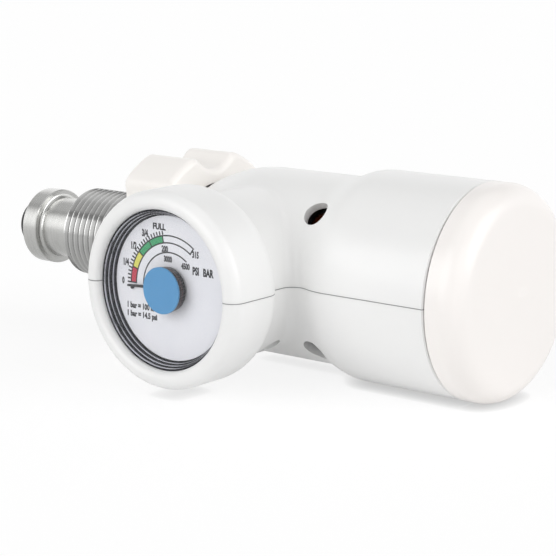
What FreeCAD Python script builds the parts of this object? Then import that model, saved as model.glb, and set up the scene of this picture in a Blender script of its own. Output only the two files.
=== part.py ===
"""Medical gas regulator with its own cylinder connection.

Millimetres. The main axis is X: the inlet points along -X and the flow knob lies at +X.
The gauge faces -Y and the two case shells part on the plane z = 0.
The origin is the centre of the nose's front face, on the main axis.
"""

import FreeCAD
import Part
import math
import os

V = FreeCAD.Vector
X = V(1, 0, 0)
Y = V(0, 1, 0)
Z = V(0, 0, 1)
ORIGIN = V(0, 0, 0)

# Clearances
RUNNING_GAP = 0.05
THREAD_GAP = 0.05
SEAT_GAP = 0.1
FREE_GAP = 0.3

# Inlet nose and stem
NOSE_R = 9.88
NOSE_LENGTH = 5.0
NOSE_EDGE = 0.4
NECK_R = 7.9
NECK_FILLET = 0.9
SPIGOT_LENGTH = 5.4
SPIGOT_R = 5.1
NOSE_SEAL_R = 5.0
NOSE_SEAL_WIRE_R = 1.3
NOSE_SEAL_STANDOFF = 3.5
GAS_BORE_R = 2.0
FILTER_R = 2.9
FILTER_LENGTH = 9.0
COLLAR_ACROSS_FLATS = 21.0
COLLAR_LENGTH = 3.0
SHANK_R = 7.0
SHANK_LENGTH = 15.0
GASKET_THICKNESS = 1.0

# Threaded sleeve, a G 5/8 male thread, and what carries it
THREAD_R = 11.455
THREAD_CHAMFER = 0.9
THREAD_RUNOUT_DEPTH = 0.3
THREAD_RUNOUT_GAP = 0.2
SLEEVE_TRAVEL = 11.4
SLEEVE_FREE_LENGTH = 27.6
SLEEVE_BORE_GAP = 0.6
SLEEVE_FLATS = 24.0
SLEEVE_HEAD_R = 12.6
SLEEVE_HEAD_LENGTH = 3.7
BUSH_WALL = 2.05
BUSH_LENGTH = 6.9
RING_THICKNESS = 1.0
RING_GROOVE_DEPTH = 0.6

# Handwheel
WHEEL_R = 25.2
WHEEL_WIDTH = 16.0
WHEEL_LOBES = 6
WHEEL_VALLEY_R = 8.0
WHEEL_VALLEY_BOTTOM_R = 20.6
WHEEL_LOBE_ROUND = 3.0
WHEEL_EDGE_ROUND = 1.6
WHEEL_RECESS_R = 17.2
WHEEL_WEB = 6.0
WHEEL_FRONT_WALL = 2.0

# Case
CASE_WALL = 2.0
CASE_AIR = 4.1
CASE_OVERLAP = 2.0
SHOULDER_ROUND = 34.0
SHOULDER_LENGTH = 21.5
FLARE_RISE = 2.4
FLARE_LENGTH = 11.5
FLARE_FROM_GAUGE = 19.0
BARREL_LENGTH = 26.5
CASE_EDGE = 0.3
INLET_HOLE_GAP = 0.15
PORT_HOLE_R = 3.2
PORT_HOLE_TILT = 45.0
PORT_FROM_GAUGE = 21.5

# Gauge drum of the case
GAUGE_FROM_WHEEL = 22.0
DRUM_R = 22.9
DRUM_RIM_ROUND = 2.8
DRUM_LIP_ROUND = 1.6
DRUM_LIP_WALL = 1.85
DRUM_BAND_WIDTH = 12.05
DRUM_BOW_ROUND = 5.4
DRUM_TUCK_ROUND = 1.3
DRUM_NECK_R = 19.6
DRUM_ROOT_HEIGHT = 6.0
JUNCTION_ROUND = 3.0

# Regulator body
BODY_BOSS_R = 12.0
BODY_BOSS_LENGTH = 9.0
BODY_R = 16.5
BODY_LENGTH = 65.0
CYLINDER_R = 12.5
CYLINDER_DEPTH = 14.0
SEAT_R = 4.0
SEAT_LENGTH = 3.9
SEAT_NOZZLE_R = 1.6
SEAT_NOZZLE_LENGTH = 0.7
SEAT_HOLE_R = 0.8
GUIDE_R = 6.0
GUIDE_LENGTH = 3.6
CHAMBER_LENGTH = 6.4
VENT_R = 0.8

# Piston
PISTON_TRAVEL = 0.75
PISTON_STEM_R = 3.25
PISTON_HEAD_LENGTH = 4.0
PISTON_HOLE_R = 1.0
PAD_R = 1.8
PAD_LENGTH = 1.5
SEAL_WIRE_R = 0.7
GUIDE_SEAL_WIRE_R = 0.65
SPRING_R = 8.5
SPRING_WIRE_R = 0.8
SPRING_TURNS = 3.0

# Relief valve and port plug, along their own tilted axis
RELIEF_R = 3.4
RELIEF_BOTTOM = 9.0
RELIEF_TOP = 19.2
RELIEF_WALL = 1.0
RELIEF_POPPET_LENGTH = 1.8
RELIEF_CAP_LENGTH = 2.8
RELIEF_CAP_HOLE_R = 0.9
RELIEF_LIFT = 0.8
RELIEF_WIRE_R = 0.25
RELIEF_SPRING_TURNS = 5.0
PLUG_SOCKET_FLATS = 3.0
PLUG_SOCKET_DEPTH = 2.5

# Flow selector
HEAD_R = 19.5
HEAD_SKIRT = 5.0
HEAD_CHAMBER_R = 15.2
HEAD_CHAMBER_LENGTH = 4.0
HEAD_WALL = 11.0
DISC_R = 14.6
DISC_THICKNESS = 3.2
FLOW_SETTINGS = 10
FLOW_STEP = 30.0
ORIFICE_CIRCLE_R = 8.0
ORIFICE_R = 0.25
ORIFICE_GROWTH = 0.05
DETENT_CIRCLE_R = 11.6
BALL_R = 1.5
BALL_TRAVEL = 0.4
DETENT_WIRE_R = 0.25
DETENT_SPRING_TURNS = 4.0
DETENT_SPRING_LENGTH = 3.0
SHAFT_R = 4.0
SHAFT_FLAT = 2.8
SHAFT_HEAD_R = 6.0
SHAFT_HEAD_LENGTH = 1.6
SHAFT_SEAL_WIRE_R = 0.5
SHAFT_SEAL_FROM_FACE = 3.0
FLOW_SEAL_R = 2.0
FLOW_SEAL_LENGTH = 2.3
FLOW_SEAL_HOLE_R = 0.8
STOP_PIN_R = 1.25
STOP_CIRCLE_R = 13.0
STOP_PIN_LENGTH = 8.5

# Knob
KNOB_GAP = 0.5
KNOB_LENGTH = 8.5
KNOB_WALL = 2.2
KNOB_CORNER_ROUND = 5.5
KNOB_DOME = 0.8
KNOB_HUB_R = 7.0
KNOB_RIBS = 6
KNOB_RIB_THICKNESS = 1.4
KNOB_RIB_DEPTH = 2.0
KNOB_STOP_DEPTH = 5.0

# Outlet nipple, on the side away from the gauge
NIPPLE_FROM_HEAD_FACE = 5.5
NIPPLE_SHANK_R = 3.0
NIPPLE_SHANK_LENGTH = 11.0
NIPPLE_BORE_R = 1.5
NIPPLE_FLATS = 9.0
NIPPLE_HEX_LENGTH = 7.5
NIPPLE_BARB_R = 4.0
NIPPLE_TAIL_R = 3.1
NIPPLE_BARBS = 3
NIPPLE_BARB_LENGTH = 5.5

# Gauge, built up outwards from its seat on the body
WINDOW_R = 18.3
WINDOW_THICKNESS = 0.5
WINDOW_CROWN = 0.9
BEZEL_R = 20.6
BEZEL_DEPTH = 5.1
BEZEL_SKIRT = 3.0
BEZEL_EYE_R = 18.0
BEZEL_STEPS = 3
DIAL_RISE = 2.2
DIAL_EYE_R = 16.7
DIAL_R = 17.4
DIAL_THICKNESS = 0.6
GAUGE_CASE_R = 19.8
GAUGE_CAN_R = 16.4
GAUGE_CASE_WALL = 0.8
GAUGE_SEAT_DEPTH = 0.5
GAUGE_CAN_DEPTH = 6.5
GAUGE_FRONT_DEPTH = 6.5
SOCKET_SHANK_R = 4.85
SOCKET_SHANK_LENGTH = 6.5
SOCKET_FLATS = 13.0
SOCKET_FLANGE_LENGTH = 5.0
SOCKET_NECK_R = 4.5
SOCKET_NECK_LENGTH = 6.0
SOCKET_BLOCK_RISE = 4.0
SOCKET_ARM_WIDTH = 5.0
TUBE_R = 13.0
TUBE_DEPTH = 4.0
TUBE_THICKNESS = 1.4
TUBE_SWEEP = 250.0
TUBE_START = -98.0
TUBE_WALL = 0.3
GAS_HOLE_R = 0.6

# Gauge movement
GEAR_MODULE = 0.3
PINION_TEETH = 10
SECTOR_TEETH = 50
GEAR_ADDENDUM = 0.8
GEAR_DEDENDUM = 1.2
GEAR_BACKLASH = 0.06
PRESSURE_DEGREES = 25.0
GEAR_THICKNESS = 1.6
GEAR_STANDOFF = 3.0
ARBOR_R = 0.7
PLATE_R = 5.0
PLATE_THICKNESS = 1.0
PLATE_GAP = 5.6
BRIDGE_WIDTH = 4.4
PILLAR_R = 0.8
POINTER_SWEEP = 128.0
POINTER_REST = 183.5
POINTER_SHORTFALL = 3.8
POINTER_TAIL = 4.6
POINTER_WIDTH = 1.0
POINTER_TIP_WIDTH = 0.45
POINTER_THICKNESS = 0.3
POINTER_BOSS_R = 2.0
HUB_R = 5.4
HUB_BASE_R = 5.1
HUB_DISC_THICKNESS = 0.4
HUB_GAP = 0.4

# Case screws
SCREW_R = 1.25
SCREW_HEAD_R = 2.3
SCREW_HEAD_LENGTH = 1.8
SCREW_LENGTH = 14.0
SCREW_BOSS_R = 3.0
SCREW_CROSS_LENGTH = 2.6
SCREW_CROSS_WIDTH = 0.7
SCREW_CROSS_DEPTH = 1.0
NECK_SCREW_OFFSET = 11.0
NECK_SCREW_HEIGHT = 20.2
BARREL_SCREW_FROM_FLARE = 2.0
BARREL_SCREW_HEIGHT = 19.8

# Stations along the main axis
sleeve_front_x = NOSE_LENGTH + SLEEVE_TRAVEL
wheel_front_x = sleeve_front_x + SLEEVE_FREE_LENGTH
wheel_web_x = wheel_front_x + WHEEL_WEB
wheel_back_x = wheel_front_x + WHEEL_WIDTH
sleeve_back_x = wheel_web_x + SLEEVE_HEAD_LENGTH
collar_x = sleeve_back_x + FREE_GAP
body_x = collar_x + COLLAR_LENGTH
case_left_x = wheel_back_x - CASE_OVERLAP
gauge_x = wheel_back_x + GAUGE_FROM_WHEEL
port_x = gauge_x + PORT_FROM_GAUGE
flare_x = gauge_x + FLARE_FROM_GAUGE
barrel_x = flare_x + FLARE_LENGTH
case_right_x = barrel_x + BARREL_LENGTH
body_right_x = body_x + BODY_LENGTH
cylinder_x = body_right_x - CYLINDER_DEPTH
guide_x = cylinder_x - GUIDE_LENGTH
chamber_x = guide_x - CHAMBER_LENGTH
seat_x = chamber_x - SEAT_LENGTH
nozzle_x = chamber_x + SEAT_NOZZLE_LENGTH
piston_tip_x = nozzle_x + PISTON_TRAVEL + RUNNING_GAP
piston_right_x = body_right_x - FREE_GAP - SHAFT_HEAD_LENGTH - FREE_GAP
piston_head_x = piston_right_x - PISTON_HEAD_LENGTH
head_skirt_x = body_right_x - HEAD_SKIRT
head_wall_x = body_right_x + HEAD_CHAMBER_LENGTH
head_face_x = head_wall_x + HEAD_WALL
disc_face_x = head_wall_x - 0.5 * FREE_GAP
disc_x = disc_face_x - DISC_THICKNESS
knob_x = case_right_x + KNOB_GAP
knob_face_x = knob_x + KNOB_LENGTH
nipple_x = head_face_x - NIPPLE_FROM_HEAD_FACE

# Radii of the case
waist_r = BODY_R + CASE_AIR + CASE_WALL
barrel_r = waist_r + FLARE_RISE
knob_r = barrel_r

# Heights of the gauge and its drum above the main axis
gauge_seat = BODY_R - GAUGE_SEAT_DEPTH
socket_neck = gauge_seat + SOCKET_FLANGE_LENGTH
gauge_back = socket_neck + SOCKET_NECK_LENGTH
gauge_step = gauge_back + GAUGE_CAN_DEPTH
bezel_back = gauge_step + GAUGE_FRONT_DEPTH
dial_height = bezel_back + DIAL_RISE
lip_height = bezel_back + BEZEL_DEPTH
drum_rim = lip_height + DRUM_LIP_WALL
drum_bow = drum_rim - DRUM_BAND_WIDTH
block_top = gauge_back + SOCKET_BLOCK_RISE
gear_height = block_top + PLATE_THICKNESS + GEAR_STANDOFF


def point_at(axis, out, along, across):
    """Point of a half section, in an axis frame given as (start, direction)."""
    start, direction = axis
    return start + direction * along + out * across


def square_to(direction):
    """Unit vector across the given direction."""
    helper = Z if abs(direction.dot(Z)) < 0.9 else X
    across = direction.cross(helper)
    across.normalize()
    return across


class Outline:
    """A half section drawn with runs and arcs, each point given as (along, out)."""

    def __init__(self, along, out, axis=(ORIGIN, X), side=None):
        self.axis = axis
        self.out = side or square_to(axis[1])
        self.first = self.last = (along, out)
        self.edges = []

    def _place(self, spot):
        return point_at(self.axis, self.out, spot[0], spot[1])

    def to(self, along, out):
        """Straight run."""
        start, end = self._place(self.last), self._place((along, out))
        if start.distanceToPoint(end) > 1e-6:
            self.edges.append(Part.LineSegment(start, end).toShape())
        self.last = (along, out)
        return self

    def arc(self, middle, end):
        """Arc through a middle point."""
        places = [self._place(spot) for spot in (self.last, middle, end)]
        self.edges.append(Part.Arc(*places).toShape())
        self.last = end
        return self

    def round(self, centre, radius, start_degrees, end_degrees):
        """Arc about a centre, by its angles from the along direction."""
        def spot(degrees):
            angle = math.radians(degrees)
            return (centre[0] + radius * math.cos(angle), centre[1] + radius * math.sin(angle))

        self.to(*spot(start_degrees))
        return self.arc(spot(0.5 * (start_degrees + end_degrees)), spot(end_degrees))

    def turn(self, degrees=360.0):
        """Closes the outline and turns it about its axis."""
        self.to(*self.first)
        face = Part.Face(Part.Wire(self.edges))
        return face.revolve(self.axis[0], self.axis[1], degrees)


def rod(x, length, radius, axis=(ORIGIN, X)):
    """Round rod from a distance along an axis."""
    return Part.makeCylinder(radius, length, axis[0] + axis[1] * x, axis[1])


def tube(x, length, outer, inner, axis=(ORIGIN, X)):
    """Round tube from a distance along an axis."""
    return rod(x, length, outer, axis).cut(rod(x, length, inner, axis))


def chamfered_rod(x, length, radius, start_chamfer, end_chamfer, axis=(ORIGIN, X)):
    """Round rod with a chamfer at each end."""
    outline = Outline(x, 0, axis).to(x, radius - start_chamfer).to(x + start_chamfer, radius)
    outline.to(x + length - end_chamfer, radius).to(x + length, radius - end_chamfer)
    return outline.to(x + length, 0).turn()


def hexagon(x, length, across_flats, axis=(ORIGIN, X)):
    """Hexagonal bar from a distance along an axis."""
    radius = across_flats / math.sqrt(3.0)
    side = square_to(axis[1])
    other = axis[1].cross(side)
    start = axis[0] + axis[1] * x
    corners = []
    for index in range(7):
        angle = math.radians(60.0 * index)
        corners.append(start + side * (radius * math.cos(angle)) + other * (radius * math.sin(angle)))
    return Part.Face(Part.makePolygon(corners)).extrude(axis[1] * length)


def seal_ring(x, radius, wire_radius, axis=(ORIGIN, X)):
    """Round-section ring about an axis."""
    return Part.makeTorus(radius, wire_radius, axis[0] + axis[1] * x, axis[1])


def coil_spring(x, length, radius, wire_radius, turns, axis=(ORIGIN, X)):
    """Coil of round wire that fills a length of an axis."""
    height = length - 2.0 * wire_radius
    path = Part.makeHelix(height / turns, height, radius)
    section = Part.Wire(Part.makeCircle(wire_radius, V(radius, 0, 0), Y))
    coil = Part.Wire(path.Edges).makePipeShell([section], True, True)
    coil.Placement = FreeCAD.Placement(
        axis[0] + axis[1] * (x + wire_radius), FreeCAD.Rotation(Z, axis[1])
    )
    return coil


def flat_sided_rod(x, length, radius, flat):
    """Rod on the main axis with one flat, for a drive."""
    bar = rod(x, length, radius)
    keep = Part.makeBox(length, 2.0 * radius, radius + flat, V(x, -radius, -radius))
    return bar.common(keep)


def polar(radius, degrees, x=0.0):
    """Point about the main axis, counted from +Y towards +Z."""
    angle = math.radians(degrees)
    return V(x, radius * math.cos(angle), radius * math.sin(angle))


def port_axis(side):
    """Axis of the relief valve (side 1) or of the plug (side -1), from the main axis outwards."""
    tilt = math.radians(PORT_HOLE_TILT)
    return (V(port_x, 0, 0), V(0, -math.cos(tilt), side * math.sin(tilt)))


gauge_axis = (V(gauge_x, 0, 0), V(0, -1, 0))
outlet_axis = (V(nipple_x, 0, 0), Y)


def make_inlet_stem():
    """Nose head, neck, wrench collar and shank, turned in one piece and bored for gas."""
    outline = Outline(-SPIGOT_LENGTH, 0).to(-SPIGOT_LENGTH, SPIGOT_R - NOSE_EDGE)
    outline.to(-SPIGOT_LENGTH + NOSE_EDGE, SPIGOT_R)
    groove_r = NOSE_SEAL_R - NOSE_SEAL_WIRE_R
    groove_left = -NOSE_SEAL_STANDOFF - NOSE_SEAL_WIRE_R
    groove_right = -NOSE_SEAL_STANDOFF + NOSE_SEAL_WIRE_R
    if groove_left > -SPIGOT_LENGTH + NOSE_EDGE:
        outline.to(groove_left, SPIGOT_R)
    outline.to(groove_left, groove_r).to(groove_right, groove_r).to(groove_right, SPIGOT_R)
    outline.to(0, NOSE_R - 2.0 * NOSE_EDGE).to(NOSE_EDGE, NOSE_R).to(NOSE_LENGTH - 0.5 * NOSE_EDGE, NOSE_R)
    outline.to(NOSE_LENGTH, NOSE_R - 0.5 * NOSE_EDGE).to(NOSE_LENGTH, NECK_R + NECK_FILLET)
    outline.round((NOSE_LENGTH + NECK_FILLET, NECK_R + NECK_FILLET), NECK_FILLET, 180, 270)
    outline.to(collar_x + COLLAR_LENGTH, NECK_R).to(collar_x + COLLAR_LENGTH, SHANK_R)
    outline.to(collar_x + COLLAR_LENGTH + SHANK_LENGTH, SHANK_R)
    outline.to(collar_x + COLLAR_LENGTH + SHANK_LENGTH, 0)
    stem = outline.turn().fuse(hexagon(collar_x, COLLAR_LENGTH, COLLAR_ACROSS_FLATS))
    stem_length = SPIGOT_LENGTH + collar_x + COLLAR_LENGTH + SHANK_LENGTH
    stem = stem.cut(rod(-SPIGOT_LENGTH, stem_length, GAS_BORE_R))
    return stem.cut(rod(-SPIGOT_LENGTH, FILTER_LENGTH, FILTER_R))


def make_nose_seal():
    """Ring that seals the nose in the cylinder valve."""
    return seal_ring(-NOSE_SEAL_STANDOFF, NOSE_SEAL_R, NOSE_SEAL_WIRE_R)


def make_inlet_filter():
    """Sintered plug with a domed front."""
    left = -SPIGOT_LENGTH + 0.5
    right = -SPIGOT_LENGTH + FILTER_LENGTH
    outline = Outline(left, 0).arc((left + 0.3, 0.6 * FILTER_R), (left + 1.0, FILTER_R - 0.02))
    return outline.to(right, FILTER_R - 0.02).to(right, 0).turn()


def make_inlet_gasket():
    """Flat gasket between the stem's end and the bottom of its bore."""
    return tube(body_x + SHANK_LENGTH, GASKET_THICKNESS, SHANK_R - SEAT_GAP, GAS_BORE_R + 0.5)


bush_r = NECK_R + RUNNING_GAP + BUSH_WALL
counterbore_r = bush_r + RUNNING_GAP
ring_x = sleeve_back_x - RING_THICKNESS - 0.7
bush_x = ring_x - RUNNING_GAP - BUSH_LENGTH
counterbore_x = bush_x - RUNNING_GAP


def make_threaded_sleeve():
    """Free sleeve: threaded outside, with a hexagon for the handwheel and a counterbore for the bush."""
    runout_x = wheel_front_x - THREAD_RUNOUT_GAP
    pocket_x = wheel_front_x + WHEEL_FRONT_WALL
    sleeve = chamfered_rod(sleeve_front_x, runout_x - sleeve_front_x, THREAD_R, THREAD_CHAMFER, 0)
    sleeve = sleeve.fuse(rod(runout_x, pocket_x - runout_x, THREAD_R - THREAD_RUNOUT_DEPTH))
    sleeve = sleeve.fuse(hexagon(pocket_x, wheel_web_x - pocket_x, SLEEVE_FLATS))
    sleeve = sleeve.fuse(rod(wheel_web_x, SLEEVE_HEAD_LENGTH, SLEEVE_HEAD_R))
    sleeve = sleeve.cut(rod(sleeve_front_x, counterbore_x - sleeve_front_x, NECK_R + SLEEVE_BORE_GAP))
    sleeve = sleeve.cut(rod(counterbore_x, sleeve_back_x - counterbore_x, counterbore_r))
    return sleeve.cut(rod(ring_x, RING_THICKNESS, counterbore_r + RING_GROOVE_DEPTH))


def make_thrust_bush():
    """Plain bearing on the neck: it slides with the sleeve, which turns on it."""
    return tube(bush_x, BUSH_LENGTH, bush_r, NECK_R + RUNNING_GAP)


def make_retaining_ring():
    """Split ring in the sleeve's groove, which keeps the bush in."""
    ring = tube(ring_x, RING_THICKNESS, counterbore_r + RING_GROOVE_DEPTH - 0.02, bush_r - 0.8)
    slot = Part.makeBox(RING_THICKNESS, 2.0, WHEEL_R, V(ring_x, -1.0, 0))
    return ring.cut(slot)


def make_handwheel():
    """Six-lobed wheel, open at the back, on the sleeve's hexagon."""
    wheel = rod(wheel_front_x, WHEEL_WIDTH, WHEEL_R)
    step = 360.0 / WHEEL_LOBES
    for index in range(WHEEL_LOBES):
        centre = polar(WHEEL_VALLEY_BOTTOM_R + WHEEL_VALLEY_R, step * (index + 0.5), wheel_front_x)
        wheel = wheel.cut(Part.makeCylinder(WHEEL_VALLEY_R, WHEEL_WIDTH, centre, X))
    corners = []
    for edge in wheel.Edges:
        ends = [vertex.X for vertex in edge.Vertexes]
        if len(ends) == 2 and abs(ends[1] - ends[0]) > 0.9 * WHEEL_WIDTH:
            corners.append(edge)
    wheel = wheel.makeFillet(WHEEL_LOBE_ROUND, corners)
    rims = []
    for edge in wheel.Edges:
        box = edge.BoundBox
        if box.XLength < 0.01:
            rims.append(edge)
    wheel = wheel.makeFillet(WHEEL_EDGE_ROUND, rims)
    wheel = wheel.cut(rod(wheel_web_x, WHEEL_WIDTH - WHEEL_WEB, WHEEL_RECESS_R))
    wheel = wheel.cut(rod(wheel_front_x, WHEEL_FRONT_WALL, THREAD_R + 0.02))
    pocket_x = wheel_front_x + WHEEL_FRONT_WALL
    return wheel.cut(hexagon(pocket_x, WHEEL_WEB, SLEEVE_FLATS + 0.04))


relief_axis = port_axis(1)
plug_axis = port_axis(-1)
pocket_floor = RELIEF_BOTTOM - 0.8
vent_x = piston_head_x - PISTON_TRAVEL - VENT_R - FREE_GAP


def make_regulator_body():
    """Machined body: inlet bore, seat pocket, cylinder, gauge port, relief port and plugged port."""
    body = rod(body_x, BODY_BOSS_LENGTH, BODY_BOSS_R)
    body = body.fuse(rod(body_x + BODY_BOSS_LENGTH, BODY_LENGTH - BODY_BOSS_LENGTH, BODY_R))
    body = body.cut(rod(body_x, SHANK_LENGTH + GASKET_THICKNESS, SHANK_R + THREAD_GAP))
    body = body.cut(rod(body_x, seat_x - body_x, GAS_BORE_R))
    body = body.cut(rod(seat_x, SEAT_LENGTH, SEAT_R + THREAD_GAP))
    body = body.cut(rod(chamber_x, cylinder_x - chamber_x, GUIDE_R + THREAD_GAP))
    body = body.cut(rod(cylinder_x, CYLINDER_DEPTH, CYLINDER_R))
    body = body.cut(rod(0, BODY_R, VENT_R, (V(vent_x, 0, 0), V(0, 0, -1))))
    body = body.cut(rod(gauge_seat, BODY_R, SOCKET_FLATS / math.sqrt(3.0) + 0.5, gauge_axis))
    body = body.cut(
        rod(gauge_seat - SOCKET_SHANK_LENGTH - 0.5, BODY_R, SOCKET_SHANK_R + THREAD_GAP, gauge_axis)
    )
    body = body.cut(rod(0, BODY_R, GAS_HOLE_R, gauge_axis))
    for axis in (relief_axis, plug_axis):
        body = body.cut(rod(0, BODY_R, VENT_R, axis))
        body = body.cut(rod(pocket_floor, BODY_R, RELIEF_R + THREAD_GAP, axis))
    return body


def make_valve_seat():
    """Seat insert with a raised nozzle."""
    outline = Outline(seat_x, SEAT_HOLE_R).to(seat_x, SEAT_R).to(chamber_x, SEAT_R)
    outline.to(chamber_x, SEAT_NOZZLE_R + 0.5).to(nozzle_x, SEAT_NOZZLE_R - 0.4)
    return outline.to(nozzle_x, SEAT_HOLE_R).turn()


def make_piston_guide():
    """Bush that guides the piston's stem and holds its seal."""
    guide = tube(guide_x, GUIDE_LENGTH, GUIDE_R, PISTON_STEM_R + RUNNING_GAP)
    groove_r = PISTON_STEM_R + SEAT_GAP + 2.0 * GUIDE_SEAL_WIRE_R
    groove_x = guide_x + 0.5 * GUIDE_LENGTH - GUIDE_SEAL_WIRE_R - 0.1
    return guide.cut(rod(groove_x, 2.0 * GUIDE_SEAL_WIRE_R + 0.2, groove_r + 0.02))


def make_guide_seal():
    """Ring round the piston's stem, in the guide's groove."""
    radius = PISTON_STEM_R + SEAT_GAP + GUIDE_SEAL_WIRE_R
    return seal_ring(guide_x + 0.5 * GUIDE_LENGTH, radius, GUIDE_SEAL_WIRE_R)


piston_r = CYLINDER_R - RUNNING_GAP - 0.03
piston_seal_x = piston_head_x + 0.5 * PISTON_HEAD_LENGTH


def make_piston():
    """Head and hollow stem in one piece."""
    outline = Outline(piston_tip_x, PAD_R).to(piston_tip_x, PISTON_STEM_R - 0.6)
    outline.to(piston_tip_x + 0.6, PISTON_STEM_R).to(piston_head_x, PISTON_STEM_R)
    outline.to(piston_head_x, piston_r)
    groove_r = piston_r - 2.0 * SEAL_WIRE_R + 0.04
    outline.to(piston_seal_x - SEAL_WIRE_R - 0.1, piston_r).to(piston_seal_x - SEAL_WIRE_R - 0.1, groove_r)
    outline.to(piston_seal_x + SEAL_WIRE_R + 0.1, groove_r).to(piston_seal_x + SEAL_WIRE_R + 0.1, piston_r)
    outline.to(piston_right_x, piston_r).to(piston_right_x, PISTON_HOLE_R)
    hole_x = piston_tip_x + PAD_LENGTH
    piston = outline.to(hole_x, PISTON_HOLE_R).to(hole_x, PAD_R).turn()
    cross_axis = (V(hole_x + PISTON_HOLE_R, 0, 0), Z)
    return piston.cut(rod(-PISTON_STEM_R, 2.0 * PISTON_STEM_R, GAS_HOLE_R, cross_axis))


def make_seat_pad():
    """Soft pad in the piston's tip, which closes the nozzle."""
    return rod(piston_tip_x, PAD_LENGTH, PAD_R - 0.01)


def make_piston_seal():
    """Ring in the piston's groove."""
    return seal_ring(piston_seal_x, piston_r - SEAL_WIRE_R + 0.04, SEAL_WIRE_R)


def make_piston_spring():
    """Spring that opens the valve."""
    length = piston_head_x - cylinder_x - 0.1
    return coil_spring(cylinder_x + 0.05, length, SPRING_R, SPRING_WIRE_R, SPRING_TURNS)


relief_bore_r = RELIEF_R - RELIEF_WALL
relief_floor = RELIEF_BOTTOM + 1.2
relief_cap_bottom = RELIEF_TOP - RELIEF_CAP_LENGTH


def make_relief_body():
    """Cartridge of the relief valve, with its seat at the bottom."""
    outline = Outline(RELIEF_BOTTOM, SEAT_HOLE_R, relief_axis).to(RELIEF_BOTTOM, RELIEF_R - 0.3)
    outline.to(RELIEF_BOTTOM + 0.3, RELIEF_R).to(RELIEF_TOP - 0.3, RELIEF_R).to(RELIEF_TOP, RELIEF_R - 0.3)
    outline.to(RELIEF_TOP, relief_bore_r).to(relief_floor, relief_bore_r).to(relief_floor, SEAT_HOLE_R)
    return outline.turn()


def make_relief_poppet():
    """Disc that lifts off the relief seat."""
    poppet = rod(relief_floor + 0.02, RELIEF_POPPET_LENGTH, relief_bore_r - SEAT_GAP, relief_axis)
    stem = rod(relief_floor + RELIEF_POPPET_LENGTH, 1.5, 0.8, relief_axis)
    return poppet.fuse(stem)


def make_relief_spring():
    """Spring between the poppet and the cap."""
    start = relief_floor + 0.02 + RELIEF_POPPET_LENGTH + 0.03
    length = relief_cap_bottom - 0.03 - start
    radius = relief_bore_r - 0.3 - RELIEF_WIRE_R
    return coil_spring(start, length, radius, RELIEF_WIRE_R, RELIEF_SPRING_TURNS, relief_axis)


def make_relief_cap():
    """Vented screw that sets the relief spring, seen through the upper hole of the case."""
    cap = rod(relief_cap_bottom, RELIEF_CAP_LENGTH - 0.4, relief_bore_r - 0.02, relief_axis)
    cap = cap.cut(rod(relief_cap_bottom, RELIEF_CAP_LENGTH, RELIEF_CAP_HOLE_R, relief_axis))
    side = square_to(relief_axis[1])
    start = relief_axis[0] + relief_axis[1] * (RELIEF_TOP - 1.2)
    slot = Part.makeBox(1.0, 2.0 * RELIEF_R, 1.0, V(-0.5, -RELIEF_R, 0))
    slot.Placement = FreeCAD.Placement(start, FreeCAD.Rotation(side, V(0, 0, 0), relief_axis[1], "ZXY"))
    return cap.cut(slot)


def make_port_plug():
    """Plug of the spare port, seen through the lower hole of the case."""
    start = RELIEF_BOTTOM + 2.0
    plug = chamfered_rod(start, RELIEF_TOP - start, RELIEF_R, 0.3, 0.3, plug_axis)
    return plug.cut(hexagon(RELIEF_TOP - PLUG_SOCKET_DEPTH, PLUG_SOCKET_DEPTH, PLUG_SOCKET_FLATS, plug_axis))


ball_x = disc_face_x + BALL_R + 0.03
detent_degrees = 270.0
stop_degrees = 90.0


def make_flow_head():
    """Screwed on the cylinder's end: holds the orifice disc, the shaft, the detent and the outlet."""
    head = rod(head_skirt_x, head_face_x - head_skirt_x, HEAD_R)
    head = head.cut(rod(head_skirt_x, HEAD_SKIRT, BODY_R + THREAD_GAP))
    head = head.cut(rod(body_right_x, HEAD_CHAMBER_LENGTH, HEAD_CHAMBER_R))
    head = head.cut(rod(head_wall_x, HEAD_WALL, SHAFT_R + RUNNING_GAP))
    groove_r = SHAFT_R + RUNNING_GAP + 2.0 * SHAFT_SEAL_WIRE_R
    seal_x = head_face_x - SHAFT_SEAL_FROM_FACE
    head = head.cut(rod(seal_x - SHAFT_SEAL_WIRE_R - 0.1, 2.0 * SHAFT_SEAL_WIRE_R + 0.2, groove_r + 0.03))
    flow = polar(ORIFICE_CIRCLE_R, 0, head_wall_x)
    head = head.cut(Part.makeCylinder(FLOW_SEAL_R + 0.02, FLOW_SEAL_LENGTH, flow, X))
    head = head.cut(Part.makeCylinder(FLOW_SEAL_HOLE_R, nipple_x - head_wall_x, flow, X))
    head = head.cut(rod(ORIFICE_CIRCLE_R - FLOW_SEAL_HOLE_R, HEAD_R, NIPPLE_BORE_R, outlet_axis))
    nipple_seat = HEAD_R - NIPPLE_SHANK_LENGTH + 0.5
    head = head.cut(rod(nipple_seat, HEAD_R, NIPPLE_SHANK_R + THREAD_GAP, outlet_axis))
    head = head.cut(rod(HEAD_R - 0.5, HEAD_R, NIPPLE_FLATS / math.sqrt(3.0) + 0.3, outlet_axis))
    detent = polar(DETENT_CIRCLE_R, detent_degrees, head_wall_x)
    pocket = ball_x + BALL_R + DETENT_SPRING_LENGTH + 0.1 - head_wall_x
    head = head.cut(Part.makeCylinder(BALL_R + RUNNING_GAP, pocket, detent, X))
    pin = polar(STOP_CIRCLE_R, stop_degrees, head_face_x - 0.5 * STOP_PIN_LENGTH)
    return head.cut(Part.makeCylinder(STOP_PIN_R + 0.01, STOP_PIN_LENGTH, pin, X))


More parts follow.
